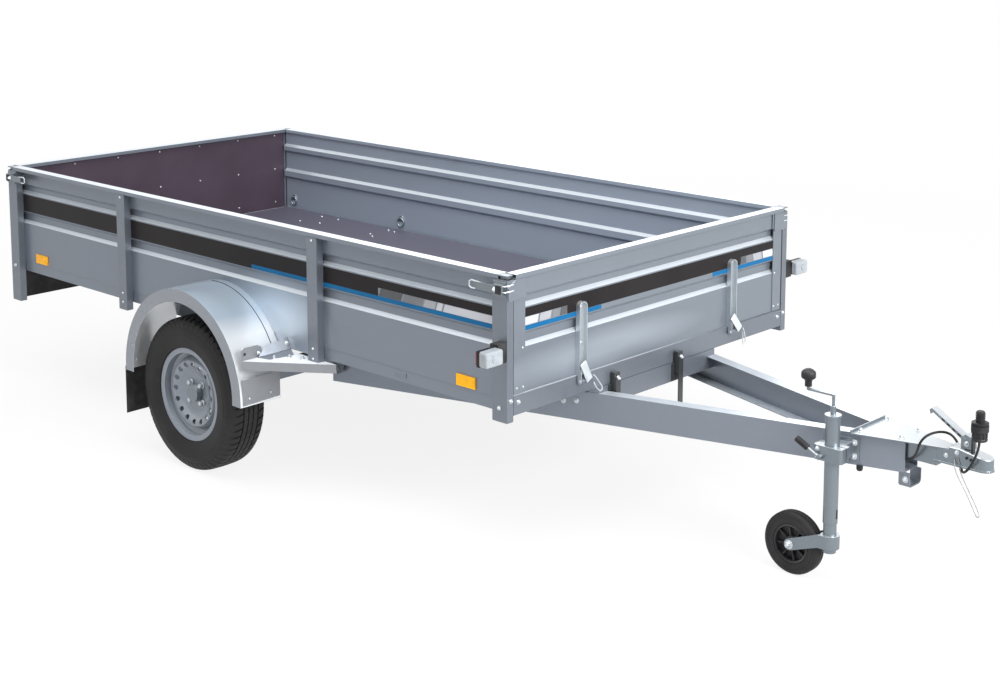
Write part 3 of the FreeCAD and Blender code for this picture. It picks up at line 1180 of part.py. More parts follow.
CABLE_ROUTE = [
    (2486, -30, 428), (2518, -30, 428), (2549, -33, 430), (2577, -47, 444), (2596, -56, 471),
    (2603, -56, 504), (2620, -40, 531), (2648, -8, 541), (2666, 28, 528), (2678, 53, 495),
    (2689, 54, 455), (2706, 24, 430), (2738, -26, 430), (2768, -47, 456), (2788, -50, 494),
    (2799, -46.6, 531), (2800, -46, 551.8),
]
SAFETY_ROUTE = [
    (2710, -30.9, 474), (2717, -40, 450), (2732, -48, 427), (2751, -50, 402), (2769, -50.5, 374),
    (2784, -50.8, 348), (2793, -50.8, 331), (2800.9, -50.8, 316.2), (2803.6, -44.8, 310.8),
    (2803.6, -36.2, 310.8), (2800.9, -30.2, 316.2), (2793, -30.2, 331), (2784, -30.5, 348),
    (2769, -31.5, 374), (2753, -33.5, 402), (2739, -36, 430), (2729, -36, 454), (2724, -30.9, 478),
]


def route_points(route):
    """A cable's points, moved along with the coupling."""
    shift = point(NOSE_X - CORD_NOSE_X, 0, DRAWBAR_TOP - CORD_DRAWBAR_TOP)
    return [point(*p) + shift for p in route]


def cable_grommet():
    """Rubber bush on the shank where the cable leaves the beam."""
    start = route_points(CABLE_ROUTE)[0]
    body = block((start.x - 14, start.x - 0.2), (start.y - 8, start.y + 2), (start.z - 8, start.z + 6.8))
    return body.makeFillet(1.5, body.Edges)


def tube_along(route, radius):
    """Round tube along straight runs joined by tangent arcs, which prints its radii."""
    points = route_points(route)
    edges = []
    start = points[0]
    radii = []
    for before, corner, after in zip(points, points[1:], points[2:]):
        back = before - corner
        ahead = after - corner
        turn = math.pi - back.getAngle(ahead)
        reach = 0.45 * min(back.Length, ahead.Length)
        bend = reach / math.tan(turn / 2)
        radii.append(round(bend, 1))
        back.normalize()
        ahead.normalize()
        enter = corner + back * reach
        leave = corner + ahead * reach
        inward = back + ahead
        inward.normalize()
        centre = corner + inward * math.hypot(bend, reach)
        middle = centre - inward * bend
        edges.append(Part.LineSegment(start, enter).toShape())
        edges.append(Part.Arc(enter, middle, leave).toShape())
        start = leave
    edges.append(Part.LineSegment(start, points[-1]).toShape())
    path = Part.Wire(edges)
    direction = points[1] - points[0]
    section = Part.Wire([Part.Circle(points[0], direction, radius).toShape()])
    tube = path.makePipeShell([section], True, False)
    ratio = tube.Volume / (math.pi * radius ** 2 * path.Length)
    print("cord length", round(path.Length, 1), "radii", radii, "volume ratio", round(ratio, 4))
    return tube


def both_sides(shape):
    return [mirrored_y(shape), shape]


def build():
    wall = left_side_wall()
    export("side_wall_right", mirrored_y(wall))
    export("side_wall_left", wall)
    export("side_sills", *both_sides(left_sill()))
    rail = front_rail()
    export("end_rails", rail, mirrored_x(rail))
    brackets = both_sides(left_pivot_bracket())
    export("floor_crossmembers", *[crossmember(x) for x in CROSSMEMBER_PLACES])
    export("drawbar_pivot_brackets", *brackets)
    export("floor_board", floor_board())

    front_post = left_post(FRONT_POST_BOTTOM)
    rear_post = mirrored_x(left_post(REAR_POST_BOTTOM))
    export("front_posts", *both_sides(front_post))
    export("rear_posts", *both_sides(rear_post))
    stakes = [left_stake(x, bottom) for x, bottom in zip(STAKE_PLACES, STAKE_BOTTOMS)]
    export("stake_posts_left", *stakes)
    export("stake_posts_right", *[mirrored_y(stake) for stake in stakes])

    gate = gate_frame(True)
    export("front_gate", gate)
    straps = [front_strap(-1), front_strap(1)]
    export("front_gate_straps", *straps)
    export("rear_gate", mirrored_x(gate_frame(False)))
    export("rear_gate_straps", *[mirrored_x(strap) for strap in straps])
    board_face = GATE_FACE - SHEET
    board_half = GATE_END - STILE_SHEET - 0.3
    board = block((board_face - GATE_BOARD_THICKNESS, board_face), (-board_half, board_half),
                  (GATE_BOTTOM, RIM_BOTTOM))
    export("rear_gate_board", mirrored_x(board))

    for name, shape in (("tyre", left_tyre()), ("rim", left_rim()), ("hub", left_hub()),
                        ("mudguard", left_mudguard())):
        export(name + "_right", mirrored_y(shape))
        export(name + "_left", shape)
    export("axle_beam", axle_beam())
    export("axle_arms", *both_sides(left_axle_arm()))
    export("mudguard_brackets", *both_sides(left_mudguard_bracket()))
    export("mud_flaps", *both_sides(left_mud_flap()))

    beams = both_sides(left_drawbar_beam())
    export("drawbar_beam_right", beams[0])
    export("drawbar_beam_left", beams[1])
    export("drawbar_crossmember", drawbar_crossmember(beams))
    export("drawbar_cover_plate", drawbar_cover_plate())
    export("drawbar_rest", drawbar_rest())
    export("tilt_latches", tilt_latch(TILT_LATCH_RIGHT_Y, TILT_HANDLE_SHORT),
           tilt_latch(TILT_LATCH_LEFT_Y, TILT_HANDLE_LONG))
    export("coupling_head", coupling_head())
    export("coupling_handle", coupling_handle())
    export("plug_holder", plug_holder())
    export("plug", plug())
    export("cable", tube_along(CABLE_ROUTE, CABLE_RADIUS))
    export("cable_grommet", cable_grommet())
    export("safety_cable", tube_along(SAFETY_ROUTE, WIRE_RADIUS))

    export("jockey_clamp", jockey_clamp())
    export("jockey_clamp_lever", jockey_clamp_lever())
    export("jockey_lever_grip", jockey_lever_grip())
    export("jockey_tube", jockey_tube())
    export("jockey_knob", jockey_knob())
    export("jockey_fork", jockey_fork())
    export("jockey_tyre", jockey_tyre())
    export("jockey_hub", jockey_hub())

    export("light_board", light_board())
    export("rear_lamps", *both_sides(left_rear_lamp()))
    export("number_plate", number_plate())
    export("marker_arms", *both_sides(left_marker_arm()))
    export("marker_lamps", *both_sides(left_marker_lamp()))
    latch = left_corner_latch()
    latches = both_sides(latch) + both_sides(mirrored_x(latch))
    export("corner_latches", *latches)
    reflectors = [left_reflector(x) for x in REFLECTOR_PLACES]
    export("side_reflectors", *[piece for shape in reflectors for piece in both_sides(shape)])
    rings = [left_ring(x) for x in RING_PLACES]
    export("lashing_rings", *[piece for shape in rings for piece in both_sides(shape)])
    print("origin x", ORIGIN_X)


build()
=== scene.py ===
import math

import bpy
import bmesh
from mathutils import Euler, Matrix, Vector


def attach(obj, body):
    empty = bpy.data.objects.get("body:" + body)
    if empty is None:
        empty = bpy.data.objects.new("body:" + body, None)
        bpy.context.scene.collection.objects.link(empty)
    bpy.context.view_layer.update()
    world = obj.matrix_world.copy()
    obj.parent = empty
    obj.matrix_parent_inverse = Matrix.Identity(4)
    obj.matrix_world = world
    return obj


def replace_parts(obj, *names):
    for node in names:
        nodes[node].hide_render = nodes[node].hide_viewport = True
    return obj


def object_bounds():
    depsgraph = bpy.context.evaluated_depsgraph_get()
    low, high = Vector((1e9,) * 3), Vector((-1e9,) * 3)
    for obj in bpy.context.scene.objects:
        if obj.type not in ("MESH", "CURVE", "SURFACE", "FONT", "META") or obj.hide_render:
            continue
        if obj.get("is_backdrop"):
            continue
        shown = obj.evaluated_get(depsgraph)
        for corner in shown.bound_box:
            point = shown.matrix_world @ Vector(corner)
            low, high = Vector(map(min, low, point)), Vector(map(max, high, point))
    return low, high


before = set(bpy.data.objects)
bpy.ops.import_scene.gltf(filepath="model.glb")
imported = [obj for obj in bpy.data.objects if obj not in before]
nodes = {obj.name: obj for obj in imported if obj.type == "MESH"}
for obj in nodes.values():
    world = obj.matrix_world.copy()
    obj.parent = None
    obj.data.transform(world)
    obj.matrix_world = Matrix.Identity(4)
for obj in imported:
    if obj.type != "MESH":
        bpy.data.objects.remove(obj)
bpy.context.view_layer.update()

# Lengths are in millimetres from the ground below the middle of the load box: x forwards, y to the
# left and z up. Only the routes of the two cords and the studio are in metres, in the shared frame,
# whose origin is ORIGIN_X ahead of the load box's middle.
ORIGIN_X = 639.5
WALL_FACE = 768.0
GATE_FACE = 1523.0
STILE_FACE = 1526.0
POST_FACE = 1528.0
POST_SIDE = 798.0
FLOOR_TOP = 592.0
WHEEL_X = -10.0
WHEEL_Y = 876.0
WHEEL_Z = 298.5
GUARD_Z = 352.0
GUARD_RADIUS = 366.0
STRAP_Y = 433.0
STAKE_X = (-655, 557)
BEAM_NOSE_X = 2688.0
BEAM_SPLAY = 0.29
JOCKEY_X = 2223.0
JOCKEY_Y = -164.0
JOCKEY_RADIUS = 105.0
CRANK_X = 2261.0
PLUG_X = 2800.0
PLUG_Y = -46.0
SIDES = ((-1, "right"), (1, "left"))
CORNERS = [(end, side) for end in (-1, 1) for side in (-1, 1)]


def at(x, y, z):
    """A place on the trailer in metres of the shared frame."""
    return Vector(((x - ORIGIN_X) / 1000, y / 1000, z / 1000))


# The camera of the photograph.

camera_data = bpy.data.cameras.new("camera")
camera = bpy.data.objects.new("camera", camera_data)
bpy.context.scene.collection.objects.link(camera)
bpy.context.scene.camera = camera
camera_data.lens = 59.84
camera_data.sensor_width = 36.0
camera_data.shift_x = -0.0036
camera_data.shift_y = -0.227
camera_data.clip_end = 200.0
camera.location = at(5097.8, -4591.6, 2241.1)
turn, down = math.radians(133.38), math.radians(8.11)
forward = Vector((math.cos(down) * math.cos(turn), math.cos(down) * math.sin(turn),
                  -math.sin(down)))
camera.rotation_mode = "QUATERNION"
camera.rotation_quaternion = forward.to_track_quat("-Z", "Y")


# Materials.

# The colour sockets of a mix node, whose other sockets are for numbers and directions.
MIX_A, MIX_B, MIX_RESULT = 6, 7, 2


class Shader:
    """A material's node tree with short calls to build it."""

    def __init__(self, name):
        self.material = bpy.data.materials.new(name)
        self.material.use_nodes = True
        self.tree = self.material.node_tree
        self.bsdf = self.tree.nodes["Principled BSDF"]
        self.coords = self.node("ShaderNodeTexCoord").outputs["Object"]

    def node(self, kind, **values):
        made = self.tree.nodes.new(kind)
        for key, value in values.items():
            setattr(made, key, value)
        return made

    def link(self, source, target):
        self.tree.links.new(source, target)

    def noise(self, scale, detail, stretch=None):
        made = self.node("ShaderNodeTexNoise")
        made.inputs["Scale"].default_value = scale
        made.inputs["Detail"].default_value = detail
        self.link(self.mapped(stretch), made.inputs["Vector"])
        return made.outputs["Fac"]

    def cells(self, scale, output="Color", feature="F1"):
        made = self.node("ShaderNodeTexVoronoi", feature=feature)
        made.inputs["Scale"].default_value = scale
        self.link(self.coords, made.inputs["Vector"])
        return made.outputs[output]

    def mapped(self, stretch):
        if stretch is None:
            return self.coords
        made = self.node("ShaderNodeMapping")
        made.inputs["Scale"].default_value = stretch
        self.link(self.coords, made.inputs["Vector"])
        return made.outputs["Vector"]

    def math(self, operation, a, b=None):
        made = self.node("ShaderNodeMath", operation=operation)
        for index, value in enumerate((a, b)):
            if value is None:
                continue
            if isinstance(value, (int, float)):
                made.inputs[index].default_value = value
            else:
                self.link(value, made.inputs[index])
        return made.outputs[0]

    def ranged(self, source, low, high, start=0.0, end=1.0):
        made = self.node("ShaderNodeMapRange")
        self.link(source, made.inputs["Value"])
        made.inputs["From Min"].default_value = start
        made.inputs["From Max"].default_value = end
        made.inputs["To Min"].default_value = low
        made.inputs["To Max"].default_value = high
        return made.outputs["Result"]

    def mixed(self, factor, a, b):
        made = self.node("ShaderNodeMix", data_type="RGBA")
        self.link(factor, made.inputs["Factor"])
        for index, value in ((MIX_A, a), (MIX_B, b)):
            if isinstance(value, tuple):
                made.inputs[index].default_value = (*value, 1.0)
            else:
                self.link(value, made.inputs[index])
        return made.outputs[MIX_RESULT]

    def facing(self):
        """The surface's own direction as separate x, y and z."""
        parts = self.node("ShaderNodeSeparateXYZ")
        self.link(self.node("ShaderNodeNewGeometry").outputs["Normal"], parts.inputs[0])
        return parts.outputs

    def paint_highlight(self, steel, middle, spread, bright, amount):
        """Paint a soft highlight or reflection onto the steel around a place, over a spread in
        metres.
        """
        place = self.coords
        for operation, value in (("SUBTRACT", middle), ("DIVIDE", spread)):
            step = self.node("ShaderNodeVectorMath", operation=operation)
            self.link(place, step.inputs[0])
            step.inputs[1].default_value = value
            place = step.outputs[0]
        reach = self.node("ShaderNodeVectorMath", operation="LENGTH")
        self.link(place, reach.inputs[0])
        return self.mixed(self.ranged(reach.outputs["Value"], amount, 0.0, 0.3, 1.0), steel, bright)

    def colour(self, source):
        self.link(source, self.bsdf.inputs["Base Color"])

    def roughness(self, source):
        self.link(source, self.bsdf.inputs["Roughness"])

    def set(self, **values):
        for key, value in values.items():
            self.bsdf.inputs[key.replace("_", " ")].default_value = value

    def bump(self, source, distance, strength, edge=0.0):
        made = self.node("ShaderNodeBump")
        if edge:
            worn = self.node("ShaderNodeBevel", samples=3)
            worn.inputs["Radius"].default_value = edge
            self.link(worn.outputs["Normal"], made.inputs["Normal"])
        made.inputs["Distance"].default_value = distance
        made.inputs["Strength"].default_value = strength
        self.link(source, made.inputs["Height"])
        self.link(made.outputs["Normal"], self.bsdf.inputs["Normal"])


def galvanised(name, colour, top, metallic, rough, spangle, contrast, side=None, inner=None,
               painted_top_from=0.25, painted_sheen=None):
    """Zinc-coated steel with a faint crystal spangle and soft clouds.

    top, side and inner are painted light and shade: colours given to faces that look up, sideways
    and into the load box for how the light falls on them. sheen paints a highlight or reflection:
    the middle, spread, colour and amount of a soft bright place.
    """
    s = Shader(name)
    s.set(Metallic=metallic)
    grain = s.node("ShaderNodeSeparateColor")
    s.link(s.cells(spangle), grain.inputs[0])
    cloud = s.noise(1.7, 2.0)
    streak = s.noise(7.0, 2.0, (1.0, 1.0, 5.0))
    tone = s.math("ADD", s.ranged(grain.outputs[0], -contrast, contrast),
                  s.ranged(cloud, -0.10, 0.10))
    tone = s.math("ADD", tone, s.ranged(streak, -0.03, 0.03))
    dark = tuple(c * 0.72 for c in colour)
    light = tuple(min(1.0, c * 1.28) for c in colour)
    steel = s.mixed(s.math("ADD", tone, 0.5), dark, light)
    # Painted highlight or reflection: a soft bright place mixed into the colour.
    if painted_sheen:
        steel = s.paint_highlight(steel, *painted_sheen)
    facing = s.facing()
    # Painted light: faces that look into the load box get the lighter inner colour, lifting the
    # shade there.
    if inner:
        place = s.node("ShaderNodeSeparateXYZ")
        s.link(s.coords, place.inputs[0])
        painted_inner_mask = s.math("MULTIPLY", facing["Y"], place.outputs["Y"])
        steel = s.mixed(s.ranged(painted_inner_mask, 1.0, 0.0, -0.65, -0.4), steel, inner)
    # Painted shade: faces that look sideways get the darker side colour.
    if side:
        painted_side_mask = s.math("ABSOLUTE", facing["Y"])
        steel = s.mixed(s.ranged(painted_side_mask, 0.0, 1.0, 0.75, 0.97), steel, side)
    # Painted light and shade from above: faces that look up get the top colour.
    s.colour(s.mixed(s.ranged(facing["Z"], 0.0, 1.0, painted_top_from, 0.8), steel, top))
    s.roughness(s.math("ADD", s.ranged(grain.outputs[1], *rough), s.ranged(cloud, -0.05, 0.05)))
    wave = s.math("ADD", s.noise(1.4, 2.0), s.math("MULTIPLY", s.noise(300.0, 2.0), 0.0015))
    s.bump(wave, 0.004, 0.3, edge=0.0016)
    return s.material


DUST = 0.3
WEAR = 0.12


def dusted(value):
    """Dust lifts dark plastic towards its own grey and dulls a light one."""
    return value + WEAR * (DUST - value) if value < DUST else value * (1 - WEAR / 2)


def plastic(name, colour, rough, grain=900.0, depth=0.0002):
    """Moulded plastic or rubber with a fine grain and dusty places."""
    s = Shader(name)
    dust = s.noise(14.0, 5.0)
    dusty = tuple(dusted(c) for c in colour)
    s.colour(s.mixed(s.ranged(dust, 0.0, 1.0, 0.4, 0.75), colour, dusty))
    s.roughness(s.ranged(dust, rough - 0.06, rough + 0.12))
    s.set(Specular_IOR_Level=0.3)
    s.bump(s.noise(grain, 3.0), depth, 0.6)
    return s.material


def film_plywood(name):
    """Dark brown film-faced plywood with the fine wire-mesh print of its film."""
    s = Shader(name)
    mesh = s.cells(260.0, "Distance", "DISTANCE_TO_EDGE")
    line = s.ranged(mesh, 1.0, 0.0, 0.0, 0.12)
    cloud = s.noise(3.0, 5.0)
    base = s.mixed(s.ranged(cloud, 0.0, 1.0, 0.3, 0.7), (0.040, 0.026, 0.040),
                   (0.060, 0.040, 0.060))
    # Painted reflection: faces that look up turn lighter and bluer, as if mirroring the bright
    # light above.
    base = s.mixed(s.ranged(s.facing()["Z"], 0.0, 1.0, 0.3, 0.9), base, (0.098, 0.094, 0.128))
    s.colour(s.mixed(s.math("MULTIPLY", line, 0.2), base, (0.15, 0.13, 0.16)))
    s.roughness(s.ranged(cloud, 0.34, 0.46))
    s.set(Specular_IOR_Level=0.3)
    s.bump(line, 0.0003, 0.5)
    return s.material


def lens(name, colour):
    """Ribbed lamp lens."""
    s = Shader(name)
    wave = s.node("ShaderNodeTexWave", bands_direction="Z")
    wave.inputs["Scale"].default_value = 70.0
    s.link(s.coords, wave.inputs["Vector"])
    tone = s.noise(60.0, 2.0)
    deeper = tuple(c * 0.85 for c in colour)
    s.colour(s.mixed(s.ranged(tone, 0.0, 1.0, 0.3, 0.7), colour, deeper))
    s.roughness(s.ranged(tone, 0.15, 0.25))
    s.set(Specular_IOR_Level=0.25)
    s.bump(wave.outputs["Fac"], 0.0006, 0.5)
    return s.material


def vinyl(name, colour):
    """Self-adhesive film on the sheet."""
    s = Shader(name)
    tone = s.noise(6.0, 4.0)
    faded = tuple(c * 1.15 + 0.002 for c in colour)
    s.colour(s.mixed(s.ranged(tone, 0.0, 1.0, 0.35, 0.65), colour, faded))
    s.roughness(s.ranged(tone, 0.35, 0.47))
    s.set(Specular_IOR_Level=0.15)
    s.bump(s.noise(40.0, 2.0), 0.0004, 0.25)
    return s.material


def tyre_rubber(name):
    """Black rubber with road dust in patches."""
    s = Shader(name)
    dust = s.noise(10.0, 6.0)
    s.colour(s.mixed(s.ranged(dust, 0.0, 1.0, 0.4, 0.7), (0.010, 0.010, 0.011),
                     (0.022, 0.021, 0.021)))
    s.roughness(s.ranged(dust, 0.5, 0.72))
    s.set(Specular_IOR_Level=0.3)
    s.bump(s.noise(700.0, 3.0), 0.0003, 0.5)
    return s.material


# Painted light and shade in the galvanised finishes: each top colour is painted light on faces that
# look up. The sheet's inner colour lifts the shade inside the load box, and its soft bright place
# is a painted reflection of the bright mudguard on the walls beside the guard's front.
SHEET = galvanised(
    "galvanised_sheet", (0.197, 0.222, 0.260), (0.70, 0.75, 0.80), 0.55, (0.32, 0.38), 60.0, 0.010,
    inner=(0.44, 0.51, 0.60),
    painted_sheen=(at(290, 0, 610), (0.36, 9.0, 0.19), (0.60, 0.68, 0.77), 0.75))
# Painted highlight: a soft bright streak across the lower part of the front gate.
GATE = galvanised(
    "galvanised_gate", (0.205, 0.232, 0.268), (0.70, 0.75, 0.80), 0.55, (0.30, 0.36), 60.0, 0.010,
    painted_sheen=(at(1523, -330, 655), (9.0, 0.62, 0.075), (0.46, 0.51, 0.57), 0.5))
FRAME = galvanised(
    "galvanised_frame", (0.185, 0.205, 0.238), (0.30, 0.33, 0.37), 0.6, (0.32, 0.42), 60.0, 0.02)
# The guard's near-white colour is its zinc brightened by a painted highlight on its front; faces
# that look up or sideways get darker colours as painted shade.
GUARD = galvanised(
    "galvanised_guard", (0.84, 0.92, 1.0), (0.42, 0.50, 0.58), 0.45, (0.2, 0.26), 24.0, 0.02,
    side=(0.26, 0.28, 0.31), painted_top_from=0.62)
GUSSET = galvanised(
    "galvanised_gusset", (0.24, 0.25, 0.27), (0.93, 0.96, 1.0), 0.2, (0.3, 0.4), 24.0, 0.02)
ZINC = galvanised(
    "zinc_plate", (0.195, 0.225, 0.25), (0.56, 0.60, 0.63), 0.75, (0.31, 0.315), 90.0, 0.02)
# Painted shade: a darker copy of the zinc, for the tilt latches that stand in shade.
SHADED_ZINC = galvanised(
    "zinc_painted_shade", (0.085, 0.09, 0.092), (0.20, 0.21, 0.21), 0.75, (0.32, 0.33), 90.0, 0.02)
BRIGHT = galvanised(
    "zinc_bright", (0.72, 0.77, 0.80), (0.86, 0.89, 0.91), 0.7, (0.30, 0.305), 200.0, 0.02)
BOLT = galvanised(
    "bolt_zinc", (0.52, 0.56, 0.59), (0.80, 0.82, 0.83), 0.75, (0.32, 0.325), 200.0, 0.02)
WIRE = galvanised(
    "steel_wire", (0.20, 0.21, 0.215), (0.36, 0.38, 0.39), 0.7, (0.36, 0.38), 900.0, 0.05)
WHEEL = galvanised(
    "wheel_silver", (0.235, 0.260, 0.300), (0.36, 0.39, 0.43), 0.35, (0.36, 0.38), 500.0, 0.02)
PLY = film_plywood("film_faced_plywood")
TYRE = tyre_rubber("tyre_rubber")
RUBBER = plastic("black_rubber", (0.012, 0.012, 0.013), 0.6, 500.0, 0.0004)
PLASTIC = plastic("black_plastic", (0.010, 0.010, 0.012), 0.42)
WHITE_PLATE = plastic("blank_plate", (0.72, 0.72, 0.70), 0.35)
RED = lens("red_lens", (0.42, 0.010, 0.010))
AMBER = lens("amber_lens", (1.0, 0.46, 0.001))
CLEAR = lens("clear_lens", (0.34, 0.37, 0.40))
BLACK_FILM = vinyl("band_black", (0.011, 0.009, 0.010))
BLUE_FILM = vinyl("band_blue", (0.003, 0.100, 0.24))
GREYS = [vinyl("band_grey_%d" % index, (grey, grey * 1.03, grey * 1.1))
         for index, grey in enumerate((0.08, 0.16, 0.30, 0.44))]

NODE_MATERIALS = {
    SHEET: ("side_wall_right side_wall_left rear_gate drawbar_beam_right drawbar_beam_left "
            "side_sills"),
    GATE: "front_gate",
    FRAME: ("end_rails floor_crossmembers drawbar_pivot_brackets front_posts rear_posts "
            "stake_posts_left stake_posts_right drawbar_crossmember drawbar_rest axle_beam "
            "axle_arms"),
    GUARD: "mudguard_right mudguard_left",
    GUSSET: "mudguard_brackets",
    ZINC: ("corner_latches coupling_head coupling_handle jockey_clamp jockey_clamp_lever "
           "jockey_tube jockey_fork lashing_rings hub_right hub_left drawbar_cover_plate"),
    BOLT: "front_gate_straps rear_gate_straps",
    SHADED_ZINC: "tilt_latches",
    WHEEL: "rim_right rim_left",
    PLY: "floor_board rear_gate_board",
    RUBBER: "mud_flaps marker_arms cable_grommet",
    PLASTIC: "light_board plug_holder plug jockey_knob jockey_lever_grip",
    WHITE_PLATE: "number_plate",
    AMBER: "side_reflectors",
    CLEAR: "marker_lamps",
}
for material, names in NODE_MATERIALS.items():
    for name in names.split():
        for material_slot in nodes[name].material_slots:
            material_slot.material = material


# Shapes made of closed parts.

def around(count):
    """Even angles of a full turn."""
    return [2 * math.pi * i / count for i in range(count)]


class Shape:
    """One mesh of several closed parts, each placed in millimetres."""

    def __init__(self):
        self.bm = bmesh.new()

    def add(self, part, matrix):
        """Take over another mesh, moved by matrix."""
        moved = {v: self.bm.verts.new(at(*(matrix @ v.co))) for v in part.verts}
        for face in part.faces:
            self.bm.faces.new([moved[v] for v in face.verts])
        part.free()

    def block(self, corner, opposite, edge, turn=(0, 0, 0)):
        """A box between opposite corners with rounded edges, turned about its middle by degrees."""
        corner, opposite = Vector(corner), Vector(opposite)
        part = bmesh.new()
        bmesh.ops.create_cube(part, size=1.0)
        size = [abs(b - a) for a, b in zip(corner, opposite)]
        bmesh.ops.scale(part, vec=size, verts=part.verts)
        if edge > 0:
            bmesh.ops.bevel(part, geom=part.edges[:], offset=edge, segments=2, affect="EDGES",
                            profile=0.6)
        spin = Euler([math.radians(a) for a in turn]).to_matrix().to_4x4()
        self.add(part, Matrix.Translation((corner + opposite) / 2) @ spin)

    def slab(self, corners, thickness):
        """A thin plate on a flat outline, thickness along the outline's normal."""
        points = [at(*c) for c in corners]
        normal = (points[1] - points[0]).cross(points[2] - points[1]).normalized()
        low = [self.bm.verts.new(p) for p in points]
        high = [self.bm.verts.new(p + normal * (thickness / 1000)) for p in points]
        self.bm.faces.new(low[::-1])
        self.bm.faces.new(high)
        for i in range(len(points)):
            j = (i + 1) % len(points)
            self.bm.faces.new((low[i], low[j], high[j], high[i]))

    def rings(self, rings, closed=False):
        """Skin a row of rings of points, capped at its ends unless it closes on itself."""
        made = [[self.bm.verts.new(at(*p)) for p in ring] for ring in rings]
        for a, b in zip(made, made[1:] + made[:1] if closed else made[1:]):
            for i in range(len(a)):
                j = (i + 1) % len(a)
                self.bm.faces.new((a[i], a[j], b[j], b[i]))
        if not closed:
            self.bm.faces.new(made[0][::-1])
            self.bm.faces.new(made[-1])

    def lathe(self, base, axis, profile, segments):
        """A turned part from base along axis; profile is (along, radius) from the base up."""
        base, axis = Vector(base), Vector(axis).normalized()
        side = axis.orthogonal().normalized()
        other = axis.cross(side)
        spokes = [side * math.cos(a) + other * math.sin(a) for a in around(segments)]
        self.rings([[base + axis * along + spoke * radius for spoke in spokes]
                    for along, radius in profile])

    def rivet(self, base, axis, radius):
        """A domed rivet head."""
        self.lathe(base, axis, [(-0.5, radius), (0.0, radius), (0.4 * radius, 0.86 * radius),
                                (0.62 * radius, 0.55 * radius), (0.7 * radius, 0.1 * radius)], 14)

    def bolt(self, base, axis, size, stub):
        """A hexagon head on a washer, with stub of thread showing."""
        self.lathe(base, axis, [(-0.5, 0.9 * size), (1.4, 0.9 * size), (1.8, 0.84 * size)], 20)
        hexagon = 0.577 * size
        self.lathe(base, axis, [(1.6, hexagon), (0.62 * size, hexagon),
                                (0.72 * size, 0.86 * hexagon)], 6)
        self.lathe(base, axis, [(0.6 * size, 0.3 * size), (0.72 * size + stub, 0.3 * size),
                                (0.78 * size + stub, 0.22 * size)], 14)

    def rod(self, points, radius, segments, closed=False):
        """A round wire bent through points."""
        points = [Vector(p) for p in points]
        last = len(points) - 1
        side = None
        rings = []
        for i, point in enumerate(points):
            before = points[i - 1] if i > 0 or closed else point
            after = points[(i + 1) % len(points)] if i < last or closed else point
            along = (after - before).normalized()
            side = along.orthogonal() if side is None else side - along * side.dot(along)
            side.normalize()
            other = along.cross(side)
            rings.append([point + (side * math.cos(a) + other * math.sin(a)) * radius
                          for a in around(segments)])
        self.rings(rings, closed)

    def done(self, name, body, material, slot, sharp=38.0):
        """Make the piece that rides on body, shaded smooth up to the sharp angle in degrees."""
        mesh = bpy.data.meshes.new(name)
        bmesh.ops.recalc_face_normals(self.bm, faces=self.bm.faces)
        self.bm.to_mesh(mesh)
        self.bm.free()
        mesh.materials.append(material)
        mesh.shade_smooth()
        mesh.set_sharp_from_angle(angle=math.radians(sharp))
        obj = bpy.data.objects.new(name, mesh)
        bpy.context.scene.collection.objects.link(obj)
        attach(obj, body)
        return obj


def arc(centre, radius, start, end, count):
    """Points of an arc about the y axis, angles in degrees from +x towards +z."""
    x, y, z = centre
    angles = [math.radians(start + (end - start) * i / (count - 1)) for i in range(count)]
    return [(x + radius * math.cos(a), y, z + radius * math.sin(a)) for a in angles]


# The two free cords, on the routes of their solids.

def cord_piece(name, route, diameter, material, node):
    """A smooth round cord that rides on the drawbar and stands for a solid."""
    data = bpy.data.curves.new(name, "CURVE")
    data.dimensions = "3D"
    data.resolution_u = 12
    data.bevel_depth = diameter / 2
    data.bevel_resolution = 4
    data.use_fill_caps = True
    spline = data.splines.new("NURBS")
    spline.points.add(len(route) - 1)
    for control, place in zip(spline.points, route):
        control.co = (*place, 1.0)
    spline.order_u = 3
    spline.use_endpoint_u = True
    data.materials.append(material)
    obj = bpy.data.objects.new(name, data)
    bpy.context.scene.collection.objects.link(obj)
    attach(obj, "drawbar")
    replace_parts(obj, node)
    return obj


CABLE_ROUTE = [
    (1.8465, -0.030, 0.428), (1.8785, -0.030, 0.428), (1.9095, -0.033, 0.430),
    (1.9375, -0.047, 0.444), (1.9565, -0.056, 0.471), (1.9635, -0.056, 0.504),
    (1.9805, -0.040, 0.531), (2.0085, -0.008, 0.541), (2.0265, 0.028, 0.528),
    (2.0385, 0.053, 0.495), (2.0495, 0.054, 0.455), (2.0665, 0.024, 0.430),
    (2.0985, -0.026, 0.430), (2.1285, -0.047, 0.456), (2.1485, -0.050, 0.494),
    (2.1595, -0.0466, 0.531), (2.1605, -0.046, 0.5518),
]
SAFETY_ROUTE = [
    (2.0705, -0.0309, 0.474), (2.0775, -0.040, 0.450), (2.0925, -0.048, 0.427),
    (2.1115, -0.050, 0.402), (2.1295, -0.0505, 0.374), (2.1445, -0.0508, 0.348),
    (2.1535, -0.0508, 0.331), (2.1614, -0.0508, 0.3162), (2.1641, -0.0448, 0.3108),
    (2.1641, -0.0362, 0.3108), (2.1614, -0.0302, 0.3162), (2.1535, -0.0302, 0.331),
    (2.1445, -0.0305, 0.348), (2.1295, -0.0315, 0.374), (2.1135, -0.0335, 0.402),
    (2.0995, -0.036, 0.430), (2.0895, -0.036, 0.454), (2.0845, -0.0309, 0.478),
]
cable = cord_piece("trailer_cable", CABLE_ROUTE, 0.008, RUBBER, "cable")
safety = cord_piece("breakaway_wire", SAFETY_ROUTE, 0.003, WIRE, "safety_cable")

# The plug's collar, ribs and rings, which go with the cable.

PLUG_RIB_CIRCLE = 22.2

